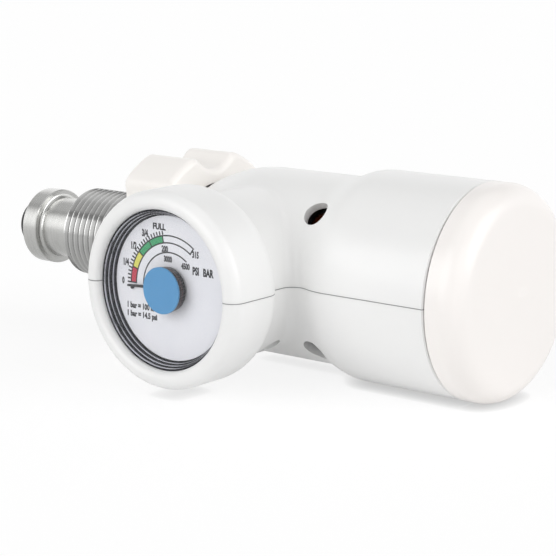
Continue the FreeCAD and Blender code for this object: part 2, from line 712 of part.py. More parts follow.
def make_orifice_disc():
    """Disc with one calibrated hole for each flow and a dimple for each setting."""
    disc = rod(disc_x, DISC_THICKNESS, DISC_R)
    disc = disc.cut(flat_sided_rod(disc_x, DISC_THICKNESS, SHAFT_R + 0.02, SHAFT_FLAT + 0.02))
    for setting in range(FLOW_SETTINGS + 1):
        turn = -FLOW_STEP * setting
        dimple = polar(DETENT_CIRCLE_R, detent_degrees + turn, ball_x - BALL_TRAVEL + RUNNING_GAP)
        disc = disc.cut(Part.makeSphere(BALL_R + 0.1, dimple))
        if setting > 0:
            hole = polar(ORIFICE_CIRCLE_R, turn, disc_x)
            radius = ORIFICE_R + ORIFICE_GROWTH * setting
            disc = disc.cut(Part.makeCylinder(radius, DISC_THICKNESS, hole, X))
    return disc


shaft_right_x = knob_face_x - KNOB_WALL - 1.0


def make_selector_shaft():
    """Shaft with a head under the disc and a flat at each end."""
    shaft = rod(disc_x - SHAFT_HEAD_LENGTH, SHAFT_HEAD_LENGTH, SHAFT_HEAD_R)
    shaft = shaft.fuse(flat_sided_rod(disc_x, DISC_THICKNESS, SHAFT_R, SHAFT_FLAT))
    shaft = shaft.fuse(rod(disc_face_x, head_face_x + KNOB_GAP - disc_face_x, SHAFT_R))
    drive_x = head_face_x + KNOB_GAP
    return shaft.fuse(flat_sided_rod(drive_x, shaft_right_x - drive_x, SHAFT_R, SHAFT_FLAT))


def make_shaft_seal():
    """Ring round the selector shaft."""
    radius = SHAFT_R + RUNNING_GAP + SHAFT_SEAL_WIRE_R + 0.02
    return seal_ring(head_face_x - SHAFT_SEAL_FROM_FACE, radius, SHAFT_SEAL_WIRE_R)


def make_flow_seal():
    """Bush that seals the chosen orifice to the outlet."""
    start = polar(ORIFICE_CIRCLE_R, 0, disc_face_x + RUNNING_GAP)
    length = head_wall_x + FLOW_SEAL_LENGTH - start.x
    bush = Part.makeCylinder(FLOW_SEAL_R, length, start, X)
    return bush.cut(Part.makeCylinder(FLOW_SEAL_HOLE_R, length, start, X))


def make_detent_ball():
    """Ball that drops into the disc's dimples."""
    return Part.makeSphere(BALL_R, polar(DETENT_CIRCLE_R, detent_degrees, ball_x))


def make_detent_spring():
    """Spring behind the ball."""
    axis = (polar(DETENT_CIRCLE_R, detent_degrees), X)
    radius = BALL_R - DETENT_WIRE_R - 0.35
    reach = BALL_R + DETENT_WIRE_R + RUNNING_GAP
    start = ball_x + math.sqrt(reach ** 2 - radius ** 2) - DETENT_WIRE_R
    length = ball_x + BALL_R + DETENT_SPRING_LENGTH - start
    return coil_spring(start, length, radius, DETENT_WIRE_R, DETENT_SPRING_TURNS, axis)


def make_stop_pin():
    """Pin that ends the knob's turn each way."""
    start = polar(STOP_CIRCLE_R, stop_degrees, head_face_x - 0.5 * STOP_PIN_LENGTH)
    return Part.makeCylinder(STOP_PIN_R, STOP_PIN_LENGTH, start, X)


def knob_dome(offset):
    """Closed body of the knob's outer shape, drawn in by an offset."""
    radius = knob_r - offset
    corner = KNOB_CORNER_ROUND - offset
    face = knob_face_x - offset
    outline = Outline(knob_x, 0).to(knob_x, radius)
    outline.round((face - corner, radius - corner), corner, 90, 0)
    flat = radius - corner
    dome = (flat ** 2 + KNOB_DOME ** 2) / (2.0 * KNOB_DOME)
    lean = math.degrees(math.asin(flat / dome))
    return outline.round((face + KNOB_DOME - dome, 0), dome, lean, 0).turn()


def make_flow_knob():
    """Cap with a hub on the shaft, ribs, and a block that meets the stop pin."""
    hub_x = head_face_x + KNOB_GAP
    bore_length = shaft_right_x + 0.2 - hub_x
    inside = rod(hub_x, knob_face_x - hub_x, KNOB_HUB_R)
    inside = inside.cut(flat_sided_rod(hub_x, bore_length, SHAFT_R + 0.02, SHAFT_FLAT + 0.02))
    rib_x = knob_face_x - KNOB_WALL - KNOB_RIB_DEPTH
    rib_start = V(rib_x, KNOB_HUB_R - 1.0, -0.5 * KNOB_RIB_THICKNESS)
    for index in range(KNOB_RIBS):
        rib = Part.makeBox(knob_face_x - rib_x, knob_r - KNOB_HUB_R, KNOB_RIB_THICKNESS, rib_start)
        rib.rotate(ORIGIN, X, 360.0 / KNOB_RIBS * (index + 0.5))
        inside = inside.fuse(rib)
    inside = inside.fuse(stop_block())
    room = knob_dome(0.5 * KNOB_WALL).fuse(rod(hub_x, knob_x - hub_x, KNOB_HUB_R))
    inside = inside.common(room)
    shell = knob_dome(0).cut(knob_dome(KNOB_WALL))
    return shell.fuse(inside).removeSplitter()


def stop_block():
    """Sector of the knob between its two stopped positions."""
    pin_half = math.degrees(math.asin(STOP_PIN_R / STOP_CIRCLE_R)) + 0.6
    sweep = 360.0 - FLOW_SETTINGS * FLOW_STEP - 2.0 * pin_half
    inner = STOP_CIRCLE_R - 0.5 * KNOB_STOP_DEPTH
    outer = STOP_CIRCLE_R + 0.5 * KNOB_STOP_DEPTH
    outline = Outline(knob_x + FREE_GAP, inner).to(knob_x + FREE_GAP, outer)
    outline.to(knob_face_x, outer).to(knob_face_x, inner)
    block = outline.turn(sweep)
    start = math.degrees(math.atan2(square_to(X).z, square_to(X).y))
    block.rotate(ORIGIN, X, stop_degrees + pin_half - start)
    return block


def make_outlet_nipple():
    """Hose nipple: threaded shank, wrench hexagon and barbed tail."""
    seat = HEAD_R - 0.5
    nipple = rod(seat - NIPPLE_SHANK_LENGTH + 1.5, NIPPLE_SHANK_LENGTH - 1.5, NIPPLE_SHANK_R, outlet_axis)
    nipple = nipple.fuse(hexagon(seat, NIPPLE_HEX_LENGTH, NIPPLE_FLATS, outlet_axis))
    base = seat + NIPPLE_HEX_LENGTH
    outline = Outline(base, 0, outlet_axis).to(base, NIPPLE_TAIL_R)
    for index in range(NIPPLE_BARBS):
        start = base + 1.0 + NIPPLE_BARB_LENGTH * index
        outline.to(start, NIPPLE_TAIL_R).to(start, NIPPLE_BARB_R)
        outline.to(start + NIPPLE_BARB_LENGTH, NIPPLE_TAIL_R)
    end = base + 1.0 + NIPPLE_BARB_LENGTH * NIPPLE_BARBS
    nipple = nipple.fuse(outline.to(end, 0).turn())
    return nipple.cut(rod(seat - NIPPLE_SHANK_LENGTH, end, NIPPLE_BORE_R, outlet_axis))


hub_front = lip_height + WINDOW_CROWN - HUB_GAP
hub_disc_back = hub_front - HUB_DISC_THICKNESS
hub_bore_front = hub_disc_back - 0.5


def make_gauge_window():
    """Clear domed disc in the eye of the case, resting on the bezel ring."""
    dome = 0.5 * (WINDOW_R ** 2 / WINDOW_CROWN + WINDOW_CROWN)
    edge = math.degrees(math.asin(WINDOW_R / dome))
    top = lip_height + WINDOW_THICKNESS + WINDOW_CROWN
    outline = Outline(lip_height, WINDOW_R, gauge_axis)
    outline.round((top - dome, 0), dome, edge, 0.0)
    outline.round((top - WINDOW_THICKNESS - dome, 0), dome, 0.0, edge)
    return outline.turn()


def make_bezel_ring():
    """Stepped ring between the window and the dial, with a skirt over the gauge case."""
    skirt_end = bezel_back - BEZEL_SKIRT
    outline = Outline(lip_height, BEZEL_EYE_R, gauge_axis)
    step_depth = (lip_height - dial_height) / BEZEL_STEPS
    step_in = (BEZEL_EYE_R - DIAL_EYE_R) / BEZEL_STEPS
    for index in range(BEZEL_STEPS):
        height = lip_height - step_depth * (index + 1)
        outline.to(height, BEZEL_EYE_R - step_in * (index + 0.4))
        outline.to(height, BEZEL_EYE_R - step_in * (index + 1))
    outline.to(dial_height, DIAL_R + 0.02).to(bezel_back, DIAL_R + 0.02)
    outline.to(bezel_back, GAUGE_CASE_R + 0.05).to(skirt_end, GAUGE_CASE_R + 0.05)
    return outline.to(skirt_end, BEZEL_R).to(lip_height, BEZEL_R).turn()


def make_dial_plate():
    """Dial with the hole for the pointer's arbor."""
    return tube(dial_height - DIAL_THICKNESS, DIAL_THICKNESS, DIAL_R, ARBOR_R + FREE_GAP, gauge_axis)


def make_gauge_case():
    """Stepped can of the gauge, open to the front."""
    wall = GAUGE_CASE_WALL
    front = bezel_back
    dial_back = dial_height - DIAL_THICKNESS
    spigot = DIAL_R - wall
    outline = Outline(gauge_back, SOCKET_NECK_R + SEAT_GAP, gauge_axis)
    outline.to(gauge_back, GAUGE_CAN_R)
    outline.to(gauge_step, GAUGE_CAN_R).to(gauge_step, GAUGE_CASE_R).to(front, GAUGE_CASE_R)
    outline.to(front, DIAL_R).to(dial_back, DIAL_R).to(dial_back, spigot).to(front - wall, spigot)
    outline.to(front - wall, GAUGE_CASE_R - wall)
    outline.to(gauge_step + wall, GAUGE_CASE_R - wall).to(gauge_step + wall, GAUGE_CAN_R - wall)
    outline.to(gauge_back + wall, GAUGE_CAN_R - wall)
    return outline.to(gauge_back + wall, SOCKET_NECK_R + SEAT_GAP).turn()


def make_gauge_socket():
    """Stem of the gauge: screwed shank, wrench flats, neck and the block that carries the works."""
    socket = rod(gauge_seat - SOCKET_SHANK_LENGTH, SOCKET_SHANK_LENGTH, SOCKET_SHANK_R, gauge_axis)
    socket = socket.fuse(hexagon(gauge_seat, SOCKET_FLANGE_LENGTH, SOCKET_FLATS, gauge_axis))
    socket = socket.fuse(rod(socket_neck, block_top - socket_neck, SOCKET_NECK_R, gauge_axis))
    arm_depth = block_top - gauge_back - GAUGE_CASE_WALL - FREE_GAP
    reach = TUBE_R + 0.5 * TUBE_THICKNESS
    arm_start = V(gauge_x - 0.5 * SOCKET_ARM_WIDTH, -block_top, -reach)
    socket = socket.fuse(Part.makeBox(SOCKET_ARM_WIDTH, arm_depth, reach, arm_start))
    cross_height = block_top - 0.5 * arm_depth
    socket = socket.cut(rod(0, cross_height, GAS_HOLE_R, gauge_axis))
    cross_axis = (V(gauge_x, -cross_height, 0), V(0, 0, -1))
    socket = socket.cut(rod(-GAS_HOLE_R, TUBE_R + GAS_HOLE_R, GAS_HOLE_R, cross_axis))
    return socket.cut(rod(cross_height, block_top, 0.5 * GAS_HOLE_R, tube_root))


tube_root = (V(gauge_x, 0, -TUBE_R), gauge_axis[1])


def tube_form(inset, degrees):
    """Bent bar of the tube's section, drawn in by an inset on every side."""
    half = 0.5 * TUBE_THICKNESS - inset
    back = block_top + inset
    front = block_top + TUBE_DEPTH - inset
    outline = Outline(back, TUBE_R - half, gauge_axis).to(back, TUBE_R + half)
    bent = outline.to(front, TUBE_R + half).to(front, TUBE_R - half).turn(degrees)
    bent.rotate(gauge_axis[0], gauge_axis[1], 0.5 * (TUBE_SWEEP - degrees))
    return bent


def make_bourdon_tube():
    """Flattened tube bent to a C and closed at both ends, on the socket's arm."""
    bent = tube_form(0, TUBE_SWEEP).cut(tube_form(TUBE_WALL, TUBE_SWEEP - 6.0))
    start = square_to(gauge_axis[1])
    bent.rotate(gauge_axis[0], gauge_axis[1], TUBE_START - math.degrees(math.atan2(start.z, start.x)))
    return bent.cut(rod(0, block_top + 2.0 * TUBE_WALL, 0.5 * GAS_HOLE_R, tube_root))


centre_distance = 0.5 * GEAR_MODULE * (PINION_TEETH + SECTOR_TEETH)
sector_pivot = (V(gauge_x, 0, -centre_distance), gauge_axis[1])
plate_back = block_top
plate_front = plate_back + PLATE_THICKNESS + PLATE_GAP
sector_swing = POINTER_SWEEP * PINION_TEETH / SECTOR_TEETH


def make_movement_frame():
    """Two plates and their pillars, on the socket."""
    frame = None
    for height in (plate_back, plate_front):
        plate = rod(height, PLATE_THICKNESS, PLATE_R, gauge_axis)
        foot = rod(height, PLATE_THICKNESS, 0.5 * BRIDGE_WIDTH, sector_pivot)
        start = V(gauge_x - 0.5 * BRIDGE_WIDTH, -height - PLATE_THICKNESS, -centre_distance)
        bridge = Part.makeBox(BRIDGE_WIDTH, PLATE_THICKNESS, centre_distance, start)
        plate = plate.fuse(foot).fuse(bridge)
        plate = plate.cut(rod(height, PLATE_THICKNESS, ARBOR_R + RUNNING_GAP, gauge_axis))
        plate = plate.cut(rod(height, PLATE_THICKNESS, ARBOR_R + RUNNING_GAP, sector_pivot))
        frame = plate if frame is None else frame.fuse(plate)
    pillar_reach = PLATE_R - PILLAR_R
    for side in (-1, 1):
        foot = (V(gauge_x + pillar_reach * side, 0, PILLAR_R), gauge_axis[1])
        frame = frame.fuse(rod(plate_back + 0.5 * PLATE_THICKNESS, plate_front - plate_back, PILLAR_R, foot))
    return frame


def gear_radii(teeth):
    """Root, pitch and tip radius of a toothed wheel."""
    pitch = 0.5 * GEAR_MODULE * teeth
    return pitch - GEAR_DEDENDUM * GEAR_MODULE, pitch, pitch + GEAR_ADDENDUM * GEAR_MODULE


def gear_tooth(teeth, centre_degrees):
    """One tooth with involute flanks, about an axis through the origin that faces the front."""
    root_r, pitch_r, tip_r = gear_radii(teeth)
    pressure = math.radians(PRESSURE_DEGREES)
    base_r = pitch_r * math.cos(pressure)
    half = 0.25 * math.pi * GEAR_MODULE / pitch_r - 0.5 * GEAR_BACKLASH / pitch_r
    flank = []
    for radius in (root_r - 0.1, max(base_r, root_r), pitch_r, tip_r):
        roll = math.acos(min(1.0, base_r / radius))
        flank.append((radius, half + math.tan(pressure) - pressure - math.tan(roll) + roll))
    corners = []
    for radius, angle in [(r, -a) for r, a in flank] + flank[::-1]:
        turn = math.radians(centre_degrees) + angle
        corners.append(V(radius * math.cos(turn), -gear_height, radius * math.sin(turn)))
    corners.append(corners[0])
    return Part.Face(Part.makePolygon(corners)).extrude(gauge_axis[1] * GEAR_THICKNESS)


sector_step = 360.0 / SECTOR_TEETH
sector_count = int(sector_swing / sector_step) + 4
gear_base = V(0, -gear_height, 0)


def make_sector_gear():
    """Toothed sector on its own arbor, at rest at one end of its swing."""
    root_r = gear_radii(SECTOR_TEETH)[0]
    sweep = sector_step * sector_count
    sector = Part.makeCylinder(root_r + 0.01, GEAR_THICKNESS, gear_base, gauge_axis[1], sweep)
    middle = sector.CenterOfMass
    sector.rotate(ORIGIN, gauge_axis[1], 90.0 - math.degrees(math.atan2(middle.z, middle.x)))
    for index in range(sector_count):
        degrees = 90.0 + sector_step * (index - 0.5 * (sector_count - 1))
        sector = sector.fuse(gear_tooth(SECTOR_TEETH, degrees))
    sector.rotate(ORIGIN, gauge_axis[1], -0.5 * sector_swing)
    sector.translate(sector_pivot[0])
    arbor_length = plate_front + PLATE_THICKNESS - plate_back - 2.0 * SEAT_GAP
    sector = sector.fuse(rod(plate_back + SEAT_GAP, arbor_length, ARBOR_R, sector_pivot))
    boss_start = plate_back + PLATE_THICKNESS + SEAT_GAP
    return sector.fuse(rod(boss_start, PLATE_GAP - 2.0 * SEAT_GAP, 2.0 * ARBOR_R, sector_pivot))


# A gap of the pinion meets a tooth of the sector when both are at rest
pinion_phase = 0.5 * sector_count + 0.5 * sector_swing / sector_step


def make_pointer_arbor():
    """Arbor of the pointer, with its pinion."""
    pinion = Part.makeCylinder(gear_radii(PINION_TEETH)[0] + 0.01, GEAR_THICKNESS, gear_base, gauge_axis[1])
    for index in range(PINION_TEETH):
        degrees = -90.0 + 360.0 / PINION_TEETH * (index + pinion_phase)
        pinion = pinion.fuse(gear_tooth(PINION_TEETH, degrees))
    pinion.translate(gauge_axis[0])
    start = plate_back + SEAT_GAP
    return pinion.fuse(rod(start, hub_bore_front - start, ARBOR_R, gauge_axis))


def make_pointer():
    """Tapered pointer with a short tail."""
    height = dial_height + FREE_GAP
    reach = DIAL_EYE_R - POINTER_SHORTFALL
    half = 0.5 * POINTER_WIDTH
    tip = 0.5 * POINTER_TIP_WIDTH
    corners = [
        V(-POINTER_TAIL, -height, -half),
        V(0, -height, -half),
        V(reach, -height, -tip),
        V(reach, -height, tip),
        V(0, -height, half),
        V(-POINTER_TAIL, -height, half),
        V(-POINTER_TAIL, -height, -half),
    ]
    blade = Part.Face(Part.makePolygon(corners)).extrude(V(0, -POINTER_THICKNESS, 0))
    blade.rotate(ORIGIN, V(0, -1, 0), POINTER_REST)
    blade.translate(gauge_axis[0])
    blade = blade.fuse(rod(height, POINTER_THICKNESS, POINTER_BOSS_R, gauge_axis))
    return blade.cut(rod(height, POINTER_THICKNESS, ARBOR_R + 0.01, gauge_axis))


def make_pointer_hub():
    """Black boss on the pointer."""
    base = dial_height + FREE_GAP + POINTER_THICKNESS
    outline = Outline(base, ARBOR_R + 0.01, gauge_axis).to(base, HUB_BASE_R)
    outline.to(hub_disc_back, HUB_R).to(hub_disc_back, 0).to(hub_bore_front, 0)
    return outline.to(hub_bore_front, ARBOR_R + 0.01).turn()


def make_hub_disc():
    """Blue disc on the boss."""
    return chamfered_rod(hub_disc_back, HUB_DISC_THICKNESS, HUB_R, 0, 0.12, gauge_axis)


shoulder_x = case_left_x + SHOULDER_LENGTH


def body_form(offset):
    """Turned form of the case about the main axis, drawn in by an offset."""
    waist = waist_r - offset
    barrel = barrel_r - offset
    ogee = flare_round()
    lean = math.degrees(math.asin(0.5 * FLARE_LENGTH / ogee))
    shoulder = SHOULDER_ROUND - offset
    left = case_left_x + offset
    sweep = math.degrees(math.asin((shoulder_x - left) / shoulder))
    outline = Outline(left, 0)
    outline.round((shoulder_x, waist - shoulder), shoulder, 90.0 + sweep, 90.0)
    outline.to(flare_x, waist)
    outline.round((flare_x, waist + ogee), ogee, 270.0, 270.0 + lean)
    outline.round((barrel_x, barrel - ogee), ogee, 90.0 + lean, 90.0)
    if offset > 0:
        outline.to(case_right_x - offset, barrel).to(case_right_x - offset, 0)
    else:
        outline.to(case_right_x - CASE_EDGE, barrel).to(case_right_x, barrel - CASE_EDGE).to(case_right_x, 0)
    return outline.turn()


def drum_form():
    """Turned form of the gauge drum and its neck, with the eye for the window."""
    eye = WINDOW_R + 0.2
    rim_r = eye + DRUM_LIP_ROUND
    bow_out = DRUM_R - DRUM_BOW_ROUND
    tuck_out = DRUM_NECK_R + DRUM_TUCK_ROUND
    reach = DRUM_BOW_ROUND + DRUM_TUCK_ROUND
    lean = math.degrees(math.acos((tuck_out - bow_out) / reach))
    tuck_height = drum_bow - reach * math.sin(math.radians(lean))
    outline = Outline(DRUM_ROOT_HEIGHT, 0, gauge_axis).to(DRUM_ROOT_HEIGHT, DRUM_NECK_R)
    outline.round((tuck_height, tuck_out), DRUM_TUCK_ROUND, -90.0, lean - 90.0)
    outline.round((drum_bow, bow_out), DRUM_BOW_ROUND, 90.0 + lean, 90.0)
    outline.round((drum_rim - DRUM_RIM_ROUND, DRUM_R - DRUM_RIM_ROUND), DRUM_RIM_ROUND, 90.0, 0.0)
    outline.to(drum_rim, rim_r)
    outline.round((drum_rim - DRUM_LIP_ROUND, rim_r), DRUM_LIP_ROUND, 0.0, -90.0)
    return outline.to(lip_height, eye).to(lip_height, 0).turn()


def flare_round():
    """Radius of the two equal arcs that join the waist to the barrel."""
    rise = barrel_r - waist_r
    return (FLARE_LENGTH ** 2 + rise ** 2) / (4.0 * rise)


def drum_cavity():
    """Turned room inside the drum."""
    outline = Outline(0, 0, gauge_axis).to(0, GAUGE_CAN_R - 1.5)
    outline.to(gauge_back - 1.5, GAUGE_CAN_R + 0.6)
    outline.to(gauge_step - 3.0, GAUGE_CAN_R + 0.6).to(gauge_step, BEZEL_R + 0.15)
    outline.to(lip_height, BEZEL_R + 0.15).to(lip_height, WINDOW_R + 0.2)
    outline.to(drum_rim + 1.0, WINDOW_R + 0.2)
    return outline.to(drum_rim + 1.0, 0).turn()


def screw_spots():
    """Places of the three case screws, as (x, y)."""
    return [
        (gauge_x - NECK_SCREW_OFFSET, -NECK_SCREW_HEIGHT),
        (gauge_x + NECK_SCREW_OFFSET, -NECK_SCREW_HEIGHT),
        (barrel_x - BARREL_SCREW_FROM_FLARE, BARREL_SCREW_HEIGHT),
    ]


def blended_union(first, second, radius):
    """Two forms in one, with the edges where their surfaces meet filled by a round."""
    union = first.fuse(second)
    meeting = []
    for edge in union.Edges:
        spots = [Part.Vertex(spot) for spot in edge.discretize(5)]
        shells = (first.Shells[0], second.Shells[0])
        gaps = [shell.distToShape(spot)[0] for shell in shells for spot in spots]
        if max(gaps) < 0.001:
            meeting.append(edge)
    return union.makeFillet(radius, meeting)


def case_form():
    """Whole case before it parts into two shells, and its outer form."""
    outer = blended_union(body_form(0), drum_form(), JUNCTION_ROUND)
    eye = WINDOW_R + 0.2
    cavity = body_form(CASE_WALL).fuse(drum_cavity())
    whole = outer.cut(cavity)
    inside = outer.cut(rod(lip_height, CASE_WALL + 1.0, eye, gauge_axis))
    bosses = None
    for x, y in screw_spots():
        boss = Part.makeCylinder(SCREW_BOSS_R, 2.0 * DRUM_R, V(x, y, -DRUM_R), Z)
        bosses = boss if bosses is None else bosses.fuse(boss)
    ribs = tube(body_x + BODY_BOSS_LENGTH + 3.0, CASE_WALL, waist_r, BODY_R + SEAT_GAP)
    ribs = ribs.fuse(tube(cylinder_x + 1.5, CASE_WALL, waist_r + 1.0, BODY_R + SEAT_GAP))
    ribs = ribs.fuse(tube(case_right_x - CASE_WALL, CASE_WALL, barrel_r - 1.0, HEAD_R + INLET_HOLE_GAP))
    ribs = ribs.cut(rod(0, lip_height, GAUGE_CAN_R, gauge_axis))
    whole = whole.fuse(bosses.fuse(ribs).common(inside))
    whole = whole.cut(rod(case_left_x, CASE_WALL, BODY_BOSS_R + INLET_HOLE_GAP))
    whole = whole.cut(rod(case_right_x - CASE_WALL, CASE_WALL, HEAD_R + INLET_HOLE_GAP))
    whole = whole.cut(rod(HEAD_R, barrel_r, NIPPLE_FLATS / math.sqrt(3.0) + 0.4, outlet_axis))
    for axis in (relief_axis, plug_axis):
        whole = whole.cut(rod(RELIEF_TOP, barrel_r, PORT_HOLE_R, axis))
    return whole


screw_tip_z = 0.45 * SCREW_LENGTH
screw_head_z = screw_tip_z - SCREW_LENGTH


def make_shells():
    """Upper and lower shells, with the screw holes."""
    whole = case_form()
    reach = 2.0 * drum_rim
    room = Part.makeBox(4.0 * reach, 4.0 * reach, reach, V(-reach, -2.0 * reach, 0))
    upper = whole.common(room)
    lower = whole.cut(room)
    for x, y in screw_spots():
        upper = upper.cut(Part.makeCylinder(SCREW_R, screw_tip_z + 0.3, V(x, y, 0), Z))
        lower = lower.cut(Part.makeCylinder(SCREW_R + 0.15, SCREW_LENGTH, V(x, y, -SCREW_LENGTH), Z))
        lower = lower.cut(Part.makeCylinder(SCREW_HEAD_R + 0.2, reach, V(x, y, screw_head_z - reach), Z))
    return upper, lower


def make_case_screws():
    """Self-tapping screws, driven from below."""
    screws = []
    for x, y in screw_spots():
        bottom = V(x, y, screw_head_z - SCREW_HEAD_LENGTH)
        shank = Part.makeCylinder(SCREW_R, SCREW_LENGTH, V(x, y, screw_head_z), Z)
        screw = shank.fuse(Part.makeCylinder(SCREW_HEAD_R, SCREW_HEAD_LENGTH, bottom, Z))
        arms = (SCREW_CROSS_LENGTH, SCREW_CROSS_WIDTH), (SCREW_CROSS_WIDTH, SCREW_CROSS_LENGTH)
        for length, width in arms:
            corner = bottom - V(0.5 * length, 0.5 * width, 0)
            screw = screw.cut(Part.makeBox(length, width, SCREW_CROSS_DEPTH, corner))
        screws.append(screw)
    return Part.makeCompound(screws)


def save(name, shape):
    """Writes one node as a STEP file."""
    shape.exportStep(os.path.join("parts", name + ".step"))
    print(name, shape.isValid(), len(shape.Solids), round(shape.Volume, 1))


def main():
    """Makes every node."""
    os.makedirs("parts", exist_ok=True)
    upper_shell, lower_shell = make_shells()
    nodes = {
        "upper_shell": upper_shell,
        "lower_shell": lower_shell,
        "case_screws": make_case_screws(),
        "inlet_stem": make_inlet_stem(),
        "nose_seal": make_nose_seal(),
        "inlet_filter": make_inlet_filter(),
        "inlet_gasket": make_inlet_gasket(),
        "threaded_sleeve": make_threaded_sleeve(),
        "thrust_bush": make_thrust_bush(),
        "retaining_ring": make_retaining_ring(),
        "handwheel": make_handwheel(),
        "regulator_body": make_regulator_body(),
        "valve_seat": make_valve_seat(),
        "piston_guide": make_piston_guide(),
        "guide_seal": make_guide_seal(),
        "piston": make_piston(),
        "seat_pad": make_seat_pad(),
        "piston_seal": make_piston_seal(),
        "piston_spring": make_piston_spring(),
        "relief_body": make_relief_body(),
        "relief_poppet": make_relief_poppet(),
        "relief_spring": make_relief_spring(),
        "relief_cap": make_relief_cap(),
        "port_plug": make_port_plug(),
        "flow_head": make_flow_head(),
        "orifice_disc": make_orifice_disc(),
        "selector_shaft": make_selector_shaft(),
        "shaft_seal": make_shaft_seal(),
        "flow_seal": make_flow_seal(),
        "detent_ball": make_detent_ball(),
        "detent_spring": make_detent_spring(),
        "stop_pin": make_stop_pin(),
        "flow_knob": make_flow_knob(),
        "outlet_nipple": make_outlet_nipple(),
        "gauge_case": make_gauge_case(),
        "gauge_socket": make_gauge_socket(),
        "bourdon_tube": make_bourdon_tube(),
        "movement_frame": make_movement_frame(),
        "sector_gear": make_sector_gear(),
        "pointer_arbor": make_pointer_arbor(),
        "dial_plate": make_dial_plate(),
        "pointer": make_pointer(),
        "pointer_hub": make_pointer_hub(),
        "hub_disc": make_hub_disc(),
        "bezel_ring": make_bezel_ring(),
        "gauge_window": make_gauge_window(),
    }
    for name, shape in nodes.items():
        save(name, shape)


main()
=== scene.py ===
"""Looks of the medical gas regulator: finishes, cut thread, springs, printed dial, camera and studio."""

import logging
import math
from dataclasses import dataclass
from enum import Enum
from typing import Any, Mapping, Sequence

import bmesh
import bpy
from mathutils import Euler, Matrix, Vector


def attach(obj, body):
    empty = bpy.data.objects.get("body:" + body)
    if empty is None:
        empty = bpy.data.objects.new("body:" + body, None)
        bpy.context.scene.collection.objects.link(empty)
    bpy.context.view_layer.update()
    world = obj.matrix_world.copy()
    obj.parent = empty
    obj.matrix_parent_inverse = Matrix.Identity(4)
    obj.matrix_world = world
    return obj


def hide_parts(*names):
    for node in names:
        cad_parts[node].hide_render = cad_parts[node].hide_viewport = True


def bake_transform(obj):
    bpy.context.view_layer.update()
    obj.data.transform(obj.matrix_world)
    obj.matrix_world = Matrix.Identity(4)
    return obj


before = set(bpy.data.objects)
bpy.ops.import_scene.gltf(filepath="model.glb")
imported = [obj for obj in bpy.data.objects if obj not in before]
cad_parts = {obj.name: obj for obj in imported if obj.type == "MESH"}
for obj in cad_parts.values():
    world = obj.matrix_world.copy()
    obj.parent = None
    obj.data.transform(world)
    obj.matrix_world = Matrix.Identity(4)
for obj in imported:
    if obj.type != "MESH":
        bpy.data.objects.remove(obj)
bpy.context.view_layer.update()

LOG = logging.getLogger("regulator")
MM = 0.001
WELD = 1e-7  # metres: nearer than this, two vertices are one

Colour = tuple[float, float, float, float]
Triple = tuple[float, float, float]

WHITE: Colour = (1.0, 1.0, 1.0, 1.0)
BLACK: Colour = (0.0, 0.0, 0.0, 1.0)


def paint(red: int, green: int, blue: int) -> Colour:
    """Turns a colour as seen on a screen into the linear colour that a shader takes.

    Args:
        red: Red from 0 to 255.
        green: Green from 0 to 255.
        blue: Blue from 0 to 255.

    Returns:
        The linear colour with an alpha of 1.
    """
    parts = []
    for value in (red, green, blue):
        share = value / 255.0
        parts.append(share / 12.92 if share <= 0.04045 else ((share + 0.055) / 1.055) ** 2.4)
    return (parts[0], parts[1], parts[2], 1.0)


class Field:
    """A shader value that takes part in Python expressions."""

    def __init__(self, recipe: "Recipe", socket: bpy.types.NodeSocket) -> None:
        """Keeps the socket and the recipe that new nodes go into."""
        self.recipe = recipe
        self.socket = socket

    def _math(self, operation: str, *operands: "Field | float") -> "Field":
        """Adds a Math node on the operands and wraps its result."""
        made = self.recipe.node("ShaderNodeMath", {"operation": operation}, dict(enumerate(operands)))
        return Field(self.recipe, made.outputs[0])

    def __add__(self, other: "Field | float") -> "Field":
        """Sum."""
        return self._math("ADD", self, other)

    __radd__ = __add__

    def __sub__(self, other: "Field | float") -> "Field":
        """Difference."""
        return self._math("SUBTRACT", self, other)

    def __rsub__(self, other: "Field | float") -> "Field":
        """Difference with this value last."""
        return self._math("SUBTRACT", other, self)

    def __mul__(self, other: "Field | float") -> "Field":
        """Product."""
        return self._math("MULTIPLY", self, other)

    __rmul__ = __mul__

    def __abs__(self) -> "Field":
        """Size without its sign."""
        return self._math("ABSOLUTE", self)

    def root(self) -> "Field":
        """Square root."""
        return self._math("SQRT", self)

    def sine(self) -> "Field":
        """Sine of the value in radians."""
        return self._math("SINE", self)

    def most(self, other: "Field | float") -> "Field":
        """The larger of the two."""
        return self._math("MAXIMUM", self, other)

    def turned(self, other: "Field") -> "Field":
        """Angle in radians of the point that has this value across and the other along."""
        return self._math("ARCTAN2", self, other)

    def ridge(self, centre: float, half_width: float) -> "Field":
        """1 at the centre, falling smoothly to 0 at the half width on both sides."""
        return 1.0 - abs(self - centre).fade(0.25 * half_width, half_width)

    def fade(self, low: float, high: float) -> "Field":
        """Runs smoothly from 0 at low to 1 at high.

        Args:
            low: Value at which the result is 0.
            high: Value at which the result is 1.

        Returns:
            The smooth step.
        """
        made = self.recipe.node(
            "ShaderNodeMapRange",
            {"interpolation_type": "SMOOTHSTEP"},
            {"Value": self, "From Min": low, "From Max": high, "To Min": 0.0, "To Max": 1.0},
        )
        return Field(self.recipe, made.outputs[0])


